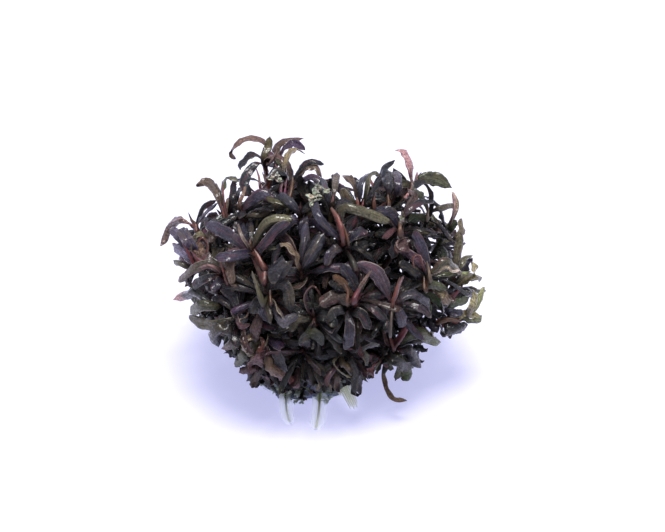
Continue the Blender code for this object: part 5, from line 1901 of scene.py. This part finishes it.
def sleeve_skin():
    """The thin film that holds a root's hairs together: clear, with soft white streaks and a painted glow
    from its emission.
    """
    # Painted glow: the film's emission lightens it where the clump shades it
    film = Finish("sleeve_skin", roughness=0.3, emission_color=(0.80, 0.82, 0.90, 1), emission_strength=0.8)
    along, across, _ = film.split(film.attribute("place"))
    spread = film.node("ShaderNodeCombineXYZ", None, {"X": across, "Y": along, "Z": 0.0})
    streaks = film.noise(1, 3, (12, 2.0, 1), spread)
    film.set("Base Color", film.mix((0.86, 0.92, 0.86), (1.0, 1.0, 1.0), film.step(streaks, 0.4, 0.6)))
    film.set("Alpha", (film.step(streaks, 0.35, 0.70) * 0.45 + 0.20) * (1.15 - across))
    see_through(film, (0.97, 0.98, 1.0, 1), 0.6)
    return film.material


LEAF_SKIN = leaf_skin()
STEM_SKIN = stem_skin()
RHIZOME_SKIN = rhizome_skin()
ROOT_SKIN = root_skin()
HAIR_SKIN = hair_skin()
SLEEVE_SKIN = sleeve_skin()
YOUNG_ROOT_SKIN = young_root_skin()


def thin_solid(leaf):
    """The space that a thin blade takes, beyond the stalk."""
    rings = []
    for share, fullness in ((0.30, 0.35), (0.52, 0.95), (0.78, 0.72)):
        middle, across, up = leaf.frame(share)
        half = leaf.width * fullness / 2
        rings.append([middle + across * half, middle - up * BLADE_THICKNESS, middle - across * half])
    return skin(rings, leaf.path[-1])


def grow_crowded_leaves(shoot, leaves, room):
    """Adds the read leaves that found no room as solids, each where it crosses the fewest others."""
    added = []
    placed = {leaf.pixels for leaf in shoot.leaves.values() if leaf.pixels}
    for tone, width, *pixels in leaves:
        if tuple(pixels) in placed:
            continue
        best = None
        for step in range(25):
            nudge = (step // 2 + step % 2) * (-1) ** step * NUDGE * 0.6
            leaf = read_leaf(shoot, 1 + 3 * (step % 3), pixels, width * 0.94, tone, nudge)
            crossed = room.crossings(thin_solid(leaf)) + 0.02 * step
            if best is None or crossed < best[0]:
                best = (crossed, leaf)
        room.take(shoot.name, thin_solid(best[1]))
        added.append(best[1])
    return added


def shuts_gap(leaf):
    """Whether a leaf would be seen in one of the gaps where the sky shows."""
    return any(in_boxes(point, SKY_GAPS, GAP_MARGIN) for point in leaf.path[4::2])


def hides_root(points):
    """Whether a path would be seen in front of a root that shows."""
    return any(in_boxes(point, SHOWN_ROOTS) for point in points)


def grow_inner_leaves(shoot, room, rng):
    """Small leaves along the stem below the crown, clear of the leaves that show."""
    added = []
    start = rng.uniform(0, math.tau)
    for k in range(INNER_LEAVES * 3):
        if len(added) >= INNER_LEAVES:
            break
        share = between(*INNER_SPAN, rng.random())
        slot = (1 - share) * shoot.length / LEAF_SPACING - 0.5
        leaf = whorl_leaf(
            shoot,
            slot,
            angle=start + k * GOLDEN_ANGLE,
            length=INNER_LENGTH * rng.uniform(0.6, 1.4),
            width=INNER_WIDTH * rng.uniform(0.8, 1.2),
            rise=math.radians(rng.uniform(25, 65)),
            droop=math.radians(rng.uniform(80, 150)),
            tone=rng.choice(INNER_TONES),
        )
        clear = min(point.z for point in leaf.path) > FLOOR_CLEARANCE
        if leaf.is_inside() and clear and not shuts_gap(leaf) and not room.crossings(thin_solid(leaf)):
            added.append(leaf)
    return added


def behind_crest():
    """Places behind the canopy's crest, just under the line of sight that passes over it."""
    places = []
    for x in SPRIG_COLUMNS:
        crest = next(y for y in range(130, 300) if in_outline(along_sight((x, y), EYE_DISTANCE)))
        for left, top, right, bottom in SKY_GAPS:
            if left - 4 < x < right + 4 and top < crest + 22:
                crest = max(crest, bottom)
        pixel = (x, crest + 14)
        start = canopy_distance(pixel, 0)
        for step in range(2, 15):
            place = along_sight(pixel, start + step * 7 * MM)
            if canopy_reach(place) < 0.88:
                places.append(place)
    return places


def sprig_leaves(sprig, room, rng):
    """Leaves all round the end of a side branch, where they cross at most one other."""
    leaves = []
    start = rng.uniform(0, math.tau)
    for k in range(SPRIG_LEAVES * 16):
        if len(leaves) >= SPRIG_LEAVES:
            break
        leaf = whorl_leaf(
            sprig,
            0.6 * len(leaves),
            angle=start + k * GOLDEN_ANGLE,
            length=WHORL_LEAF_LENGTH * rng.uniform(0.8, 1.1),
            width=WHORL_LEAF_WIDTH * rng.uniform(0.85, 1.15),
            rise=math.radians(rng.uniform(20, 50)),
            droop=math.radians(rng.uniform(90, 150)),
            tone=rng.choice(SPRIG_TONES),
        )
        seen = leaf.is_inside() and not shuts_gap(leaf)
        if canopy_reach(leaf.path[-1]) < 1.06 and seen and room.crossings(thin_solid(leaf)) <= 1:
            room.take(sprig.name, thin_solid(leaf))
            leaves.append(leaf)
    return leaves


def grow_sprigs(shoots, room, rng):
    """Side branches behind the crest, by shoot: each with its stem and its leaves."""
    crowns = [shoot.stem[-1] for shoot in shoots]
    places = behind_crest()
    sprigs = {}
    for _ in range(SPRIGS):
        place = max(places, key=lambda place: nearest_gap(place, crowns))
        if nearest_gap(place, crowns) < SPRIG_SPACING:
            break
        crowns.append(place)
        host = min(shoots, key=lambda shoot: (nearest_on_stem(shoot, place) - place).length)
        foot = nearest_on_stem(host, place)
        rise = (place - foot).length
        path = [foot, foot.lerp(place, 0.5) - Vector((0, 0, rise * 0.12)), place]
        sprig = Shoot(host.name, smooth_path(path, 20), host.tone)
        leaves = sprig_leaves(sprig, room, rng)
        if len(leaves) >= FEWEST_SPRIG_LEAVES:
            sprigs.setdefault(host.name, []).append((sprig, leaves))
    return sprigs


def add_low_leaves(piece, tree, room, rng):
    """Dark leaves that hang over the edge of the mat."""
    for k in range(SKIRT_LEAVES):
        height = rng.uniform(0.15, 1.0)
        way = direction(k * GOLDEN_ANGLE, height)
        foot = tree.ray_cast(MAT_HEART, way)[0]
        if foot is None:
            continue
        out = Vector((way.x, way.y, 0)).normalized()
        out = Matrix.Rotation(rng.uniform(-0.6, 0.6), 3, "Z") @ out
        length = INNER_LENGTH * rng.uniform(0.6, 1.05)
        lift, drop = rng.uniform(0.5, 1.3), rng.uniform(-0.9, 0.1)
        points = [foot - way * 1 * MM]
        for i in range(6):
            tilt = between(lift, drop, i / 5)
            points.append(points[-1] + (out * math.cos(tilt) + Vector((0, 0, math.sin(tilt)))) * length / 6)
        if min(point.z for point in points) < 0.8 * MM or hides_root(points):
            continue
        tone = rng.choice(SKIRT_TONES)
        width = INNER_WIDTH * rng.uniform(0.8, 1.2)
        leaf = Leaf(points, out.cross(UP), width, tone, WHORL_LEAF)
        if room.crossings(thin_solid(leaf)) <= 1:
            add_leaf(piece, leaf, TONES["dark"], rng, SMALL_LEAF_GRID)


def add_fragments(piece, tree, rng):
    """Torn bits of leaf that lie round the foot of the mat."""
    for k in range(FRAGMENTS):
        turn = k * GOLDEN_ANGLE
        way = Vector((math.cos(turn), math.sin(turn), rng.uniform(-0.10, 0.30)))
        foot = tree.ray_cast(MAT_HEART, way)[0]
        if foot is None or foot.z < 0.6 * MM:
            continue
        heading = rng.uniform(-2.2, 2.2)
        out = Matrix.Rotation(heading, 3, "Z") @ Vector((way.x, way.y, rng.uniform(-0.4, 0.5)))
        length = rng.uniform(2.5, 6.5) * MM
        points = [foot - way * 0.6 * MM]
        for _ in range(4):
            out = (out + Vector((0, 0, rng.uniform(-0.5, 0.3)))).normalized()
            points.append(points[-1] + out * length / 4)
            points[-1].z = max(points[-1].z, 0.7 * MM)
        tone = rng.choice(FRAGMENT_TONES)
        if hides_root(points):
            continue
        leaf = Leaf(points, out.cross(way), rng.uniform(1.2, 3.0) * MM, tone, WHORL_LEAF)
        add_leaf(piece, leaf, TONES[tone], rng, SMALL_LEAF_GRID)


def add_felt_patches(piece, tree, rng):
    """Pale felt on the front of the mat, and on the floor just before it."""
    for x, y, radius, colours in FELT_PATCHES:
        middle = tree.ray_cast(EYE, sight((x, y)))[0]
        if middle is None:
            middle = along_sight((x, y), (EYE.z - 1 * MM) / -sight((x, y)).z)
        add_petals(piece, middle - VIEW_IN * 0.6 * MM, radius * PIXEL, colours, rng)


def skirt_leaves(tree, room, rng):
    """All that hangs and lies round the edge of the mat, as one piece."""
    piece = Piece("skirt_leaves")
    add_low_leaves(piece, tree, room, rng)
    add_fragments(piece, tree, rng)
    add_felt_patches(piece, tree, rng)
    made = piece.build(LEAF_SKIN, HAIR_SKIN)
    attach(made, "root")


def foliage(shoot, crowded, sprigs, room, rng):
    """All that grows on one shoot, as one piece."""
    piece = Piece(shoot.name.replace("shoot", "foliage"))
    stem_tone = STEM_TONES[shoot.tone]
    if shoot.name.startswith("shoot_back"):
        stem_tone = STEM_TONES[rng.choice(("red", "brown", "olive", "red"))]
    add_stem(piece, shoot, stem_tone, rng)
    inner = grow_inner_leaves(shoot, room, rng)
    for leaf in [*shoot.leaves.values(), *crowded]:
        if not leaf.pixels and shoot.stem[-1].x > OLIVE_SIDE:
            leaf.tone = rng.choice(("olive", "moss", "green", leaf.tone))
        stalk = blend(stem_tone, TONES[leaf.tone], rng.uniform(0.15, 0.8))
        if leaf.pixels and leaf.pixels[-1] in SLIM_LEAVES:
            leaf.width = SLIM_LEAVES[leaf.pixels[-1]] * PIXEL
        add_leaf(piece, leaf, varied(stalk, rng, 0.2), rng)
    for leaf in inner:
        stalk = blend(TONES["dark"], TONES[leaf.tone], 0.5)
        add_leaf(piece, leaf, stalk, rng, SMALL_LEAF_GRID)
    name = shoot.name.removeprefix("shoot_")
    for reading in SHOWN_STEMS.get(name, ()):
        add_shown_stem(piece, shoot, reading, rng)
    for reading in CURLED_LEAVES.get(name, ()):
        leaf = curled_leaf(shoot, reading)
        add_leaf(piece, leaf, TONES[leaf.tone], rng)
    if name in PALE_TUFTS:
        add_tuft(piece, shoot, PALE_TUFTS[name], rng)
    for sprig, leaves in sprigs:
        add_stem(piece, sprig, blend(stem_tone, TWIG_TONE, 0.65), rng, buried=0.2 * MM, girth=0.55)
        add_spear(piece, sprig, rng)
        for leaf in leaves:
            stalk = blend(stem_tone, TONES[leaf.tone], 0.5)
            add_leaf(piece, leaf, stalk, rng, SPRIG_LEAF_GRID)
    add_spear(piece, shoot, rng)
    made = piece.build(LEAF_SKIN, STEM_SKIN)
    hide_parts(shoot.name)
    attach(made, "root")


def hair(piece, start, way, length, radius, tone, droop):
    """One hair: a three-sided strand that bends down and comes to rest on the floor."""
    share = np.linspace(0, 1, 4)[:, None]
    points = start + way * length * share - np.array([0, 0, 1]) * droop * length * share**2
    points[:, 2] = np.maximum(points[:, 2], radius * (1 + share[:, 0]))
    points += np.array([0, 0, 1e-6]) * share
    piece.add(tube(points, radius * (1 - 0.75 * share[:, 0]), 3), np.array(tone), along=share, across=0.5)


def rhizome_body():
    """The knotted rhizome under its felt, smooth where the solid has facets."""
    points, faces = mat_solid(MAT_SEGMENTS, MAT_SEGMENTS // 2, MAT_GRAIN)
    mesh = bpy.data.meshes.new("rhizome_body")
    mesh.from_pydata(points, [], faces)
    mesh.shade_smooth()
    mesh.set_sharp_from_angle(angle=math.radians(60))
    mesh.materials.append(RHIZOME_SKIN)
    body = new_object("rhizome_body", mesh)
    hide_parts("rhizome_mat")
    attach(body, "root")
    return tree_of((points, faces))


def rhizome_strands(tree, rng):
    """Fine roots that wind over the mat."""
    piece = Piece("rhizome_strands")
    for _ in range(STRANDS):
        turn, height = rng.uniform(0, math.tau), rng.uniform(-0.1, 0.8)
        heading = rng.uniform(0, math.tau)
        points = []
        for _ in range(9):
            way = direction(turn, height)
            hit = tree.ray_cast(MAT_HEART, way)[0]
            if hit is None or hit.z < STRAND_RADIUS * 1.5:
                break
            points.append(hit + way * STRAND_RADIUS * 0.5)
            heading += rng.uniform(-0.7, 0.7)
            turn += 0.13 * math.cos(heading)
            height += 0.13 * math.sin(heading)
        if len(points) < 4:
            continue
        path = np.array(smooth_path(points, 20))
        tone = varied(rng.choice(STRAND_COLOURS), rng, 0.3)
        radius = STRAND_RADIUS * rng.uniform(0.6, 1.4)
        taper = np.interp(np.linspace(0, 1, 20), (0, 0.1, 0.85, 1), (0.5, 1, 0.8, 0.15))
        piece.add(tube(path, radius * taper, 7), np.array(tone), along=np.linspace(0, 1, 20)[:, None])
    made = piece.build(ROOT_SKIN)
    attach(made, "root")


def root_felt(tree, rng):
    """The felt of root hair all over the mat."""
    piece = Piece("root_felt")
    for _ in range(FUZZ_HAIRS):
        height = rng.random() ** 2.0 * 1.2 - 0.12
        hit, normal, _, _ = tree.ray_cast(MAT_HEART, direction(rng.uniform(0, math.tau), height))
        if hit is None or hit.z < 0.2 * MM:
            continue
        clump = noise.noise(hit * 260)
        if clump < rng.uniform(-0.5, 0.1):
            continue
        lean = Vector((rng.gauss(0, 0.5), rng.gauss(0, 0.5), rng.gauss(0, 0.4)))
        out = np.array((normal + lean).normalized())
        tone = varied(rng.choice(FUZZ_COLOURS), rng, 0.25)
        length = FUZZ_LENGTH * rng.uniform(0.35, 1.0)
        hair(piece, np.array(hit), out, length, HAIR_RADIUS, tone, rng.uniform(0.1, 0.7))
    made = piece.build(HAIR_SKIN)
    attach(made, "root")


def add_root_tuft(piece, line, tangent, across, sleeve, rng):
    """Short strands that fray where a root leaves the mat."""
    for _ in range(ROOT_TUFT):
        off = np.array((rng.uniform(-1, 1), rng.uniform(-1, 1), rng.uniform(0, 0.8)))
        start = line[7] + off * sleeve * 0.6
        angle = rng.gauss(0.5, 0.6)
        rise = np.array((0, 0, rng.uniform(0, 0.5)))
        way = unit(tangent[4] * math.cos(angle) - across[4] * math.sin(angle) + rise)
        share = np.linspace(0, 1, 5)[:, None]
        strand = start + way * share * rng.uniform(2.0, 4.4) * MM - np.array((0, 0, 1)) * share**2 * 0.8 * MM
        strand[:, 2] = np.maximum(strand[:, 2], 0.25 * MM)
        colour = varied(rng.choice(TUFT_COLOURS), rng, 0.2)
        piece.add(tube(strand, TUFT_RADIUS * (1 - 0.6 * share[:, 0]), 5), np.array(colour), along=share)


def add_root_hairs(piece, line, count, sleeve, rng):
    """The hairs of a root's sleeve, which lean towards its tip."""
    tangent, across, other = turned_frames(line)
    last = len(line) - 1
    for _ in range(count):
        share = rng.uniform(0, 0.985)
        k = int(share * last)
        angle = rng.uniform(0, math.tau)
        out = across[k] * math.cos(angle) + other[k] * math.sin(angle) + tangent[k] * rng.uniform(0.8, 2.5)
        reach = sleeve * rng.uniform(0.65, 1.1) * np.interp(share, (0, 0.15, 0.8, 1), (0.7, 1, 0.95, 0.45))
        start = line[k] + (line[min(k + 1, last)] - line[k]) * rng.random()
        hair(piece, start, unit(out), reach, ROOT_HAIR_RADIUS, varied(ROOT_HAIR_COLOUR, rng, 0.04), 0.15)


def bare_root(name, path, width, tree, rng):
    """A pale green root in its sleeve of white hair."""
    points = root_path(path, tree)
    length = sum((b - a).length for a, b in zip(points, points[1:]))
    sleeve = width * MM / 2
    lift = min(sleeve * 0.45, 1.3 * MM)
    rail = [point + Vector((0, 0, lift * between(1.2, 0.75, k / 3))) for k, point in enumerate(points)]
    rail[0] -= (rail[1] - rail[0]).normalized() * 2 * MM
    line = np.array(smooth_path(rail, 40))
    u = np.linspace(0, 1, len(line))
    piece = Piece(name.replace("root", "hairy_root"))
    start_tone, end_tone, thick = ROOT_AXES.get(name, GREEN_AXIS)
    radius = thick * np.interp(u, (0, 0.1, 0.9, 0.97, 1), (1.2, 1.0, 0.75, 0.5, 0.1))
    tone = blend(start_tone, end_tone, smoothstep(0.15, 0.8, u))
    tangent, across, _ = turned_frames(line)
    swell = np.interp(u, (0, 0.12, 0.8, 0.95, 1), (0.5, 0.85, 0.8, 0.5, 0.12))
    axis = line + np.array((0, 0, 1)) * (sleeve * 0.6 * swell)[:, None]
    piece.add(tube(axis, radius, 10), tone[:, None], along=u[:, None], slot=1)
    film = tube(line, sleeve * swell * 1.1, 20)
    film[..., 2] = np.maximum(film[..., 2] * 0.75, 0.05 * MM)
    turn = np.abs(np.cos(np.linspace(0, math.tau, 20, endpoint=False)))
    piece.add(film, (0.9, 0.9, 0.9), along=u[:, None], across=turn, slot=2)
    add_root_tuft(piece, line, tangent, across, sleeve, rng)
    add_root_hairs(piece, line, int(ROOT_HAIRS * length / (20 * MM)), sleeve, rng)
    made = piece.build(HAIR_SKIN, ROOT_SKIN, SLEEVE_SKIN)
    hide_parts(name)
    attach(made, "root")


def root_stub(name, path, tree, rng):
    """A bunch of short, blunt, pale young roots."""
    points = root_path(path, tree)
    top = tree.ray_cast(EYE, sight(STUB_TOP))[0]
    way = (points[-1] - top).normalized()
    aside = way.cross(UP).normalized()
    piece = Piece(name.replace("root", "young_roots"))
    for place, thick, reach, pale in STUB_FINGERS:
        rail = []
        for share, lift in ((0, 0.2), (0.35, 1.6), (0.7, 1.5), (1, 0.8)):
            lift = (lift + rng.uniform(0, 0.4)) * MM
            spot = top.lerp(points[-1], share) - aside * place * MM * between(1.1, 0.8, share)
            rail.append(spot + Vector((0, -0.6, 0.8)) * lift)
        line = np.array(smooth_path(rail, 60))[: int(60 * reach)]
        u = np.linspace(0, 1, len(line))
        radius = thick * MM * np.interp(u, (0, 0.5, 0.88, 0.96, 1), (1.1, 1.0, 0.8, 0.5, 0.1))
        tone = blend(pale, (0.90, 0.92, 0.88), smoothstep(0.45, 0.9, u))
        piece.add(tube(line, radius, 12), tone[:, None], along=u[:, None])
    made = piece.build(YOUNG_ROOT_SKIN)
    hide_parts(name)
    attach(made, "root")


def overhead_light():
    """A soft round lamp above and a little in front of the clump."""
    lamp = bpy.data.lights.new("overhead", "AREA")
    lamp.shape = "DISK"
    lamp.size = OVERHEAD_SIZE
    lamp.energy = OVERHEAD_POWER
    lamp.color = OVERHEAD_COLOUR
    light = new_object("overhead", lamp)
    light.location = OVERHEAD_PLACE
    light.rotation_euler = (OVERHEAD_TARGET - OVERHEAD_PLACE).to_track_quat("-Z", "Y").to_euler()


def studio():
    """A pale floor, a soft overhead light and a pale violet sky, seen as in the photograph."""
    mesh = bpy.data.meshes.new("floor")
    mesh.from_pydata([(x, y, 0) for x, y in ((-3, -3), (3, -3), (3, 3), (-3, 3))], [], [(0, 1, 2, 3)])
    floor = new_object("floor", mesh)
    floor.location.z = -0.1 * MM
    paper = Finish("floor_sheet", emission_color=FLOOR_GLOW, emission_strength=1.0)
    fleck = paper.noise(40 * MM, 2)
    paper.set("Base Color", paper.mix((0.56, 0.55, 0.56), (0.58, 0.57, 0.58), fleck))
    paper.set("Roughness", 0.75 + fleck * 0.1)
    mesh.materials.append(paper.material)

    world = bpy.data.worlds.new("sky")
    world.use_nodes = True
    sky = world.node_tree.nodes["Background"]
    sky.inputs["Color"].default_value = SKY_COLOUR
    sky.inputs["Strength"].default_value = SKY_STRENGTH
    bpy.context.scene.world = world
    overhead_light()

    camera = new_object("camera", bpy.data.cameras.new("camera"))
    camera.location = EYE
    camera.rotation_euler = VIEW_IN.to_track_quat("-Z", "Y").to_euler()
    camera.data.sensor_width = SENSOR_WIDTH
    camera.data.lens = FOCAL_PIXELS * SENSOR_WIDTH / PHOTO_WIDTH
    camera.data.clip_start = 0.01
    bpy.context.scene.camera = camera
    bpy.context.scene.view_settings.view_transform = "Standard"


def main():
    studio()
    solid = mat_solid()
    shoots, readings, room = grow_shoots(solid)
    crowded = {}
    for shoot in shoots:
        crowded[shoot.name] = grow_crowded_leaves(shoot, readings.get(shoot.name, ()), room)
    sprigs = grow_sprigs(shoots, room, random.Random(5))
    for shoot in shoots:
        foliage(shoot, crowded[shoot.name], sprigs.get(shoot.name, ()), room, random.Random(shoot.name))
    rng = random.Random(29)
    tree = rhizome_body()
    rhizome_strands(tree, rng)
    root_felt(tree, rng)
    skirt_leaves(tree, room, rng)
    for name, path, width in ROOTS:
        if name == "root_stub":
            root_stub(name, path, tree_of(solid), rng)
        else:
            bare_root(name, path, width, tree_of(solid), rng)


main()
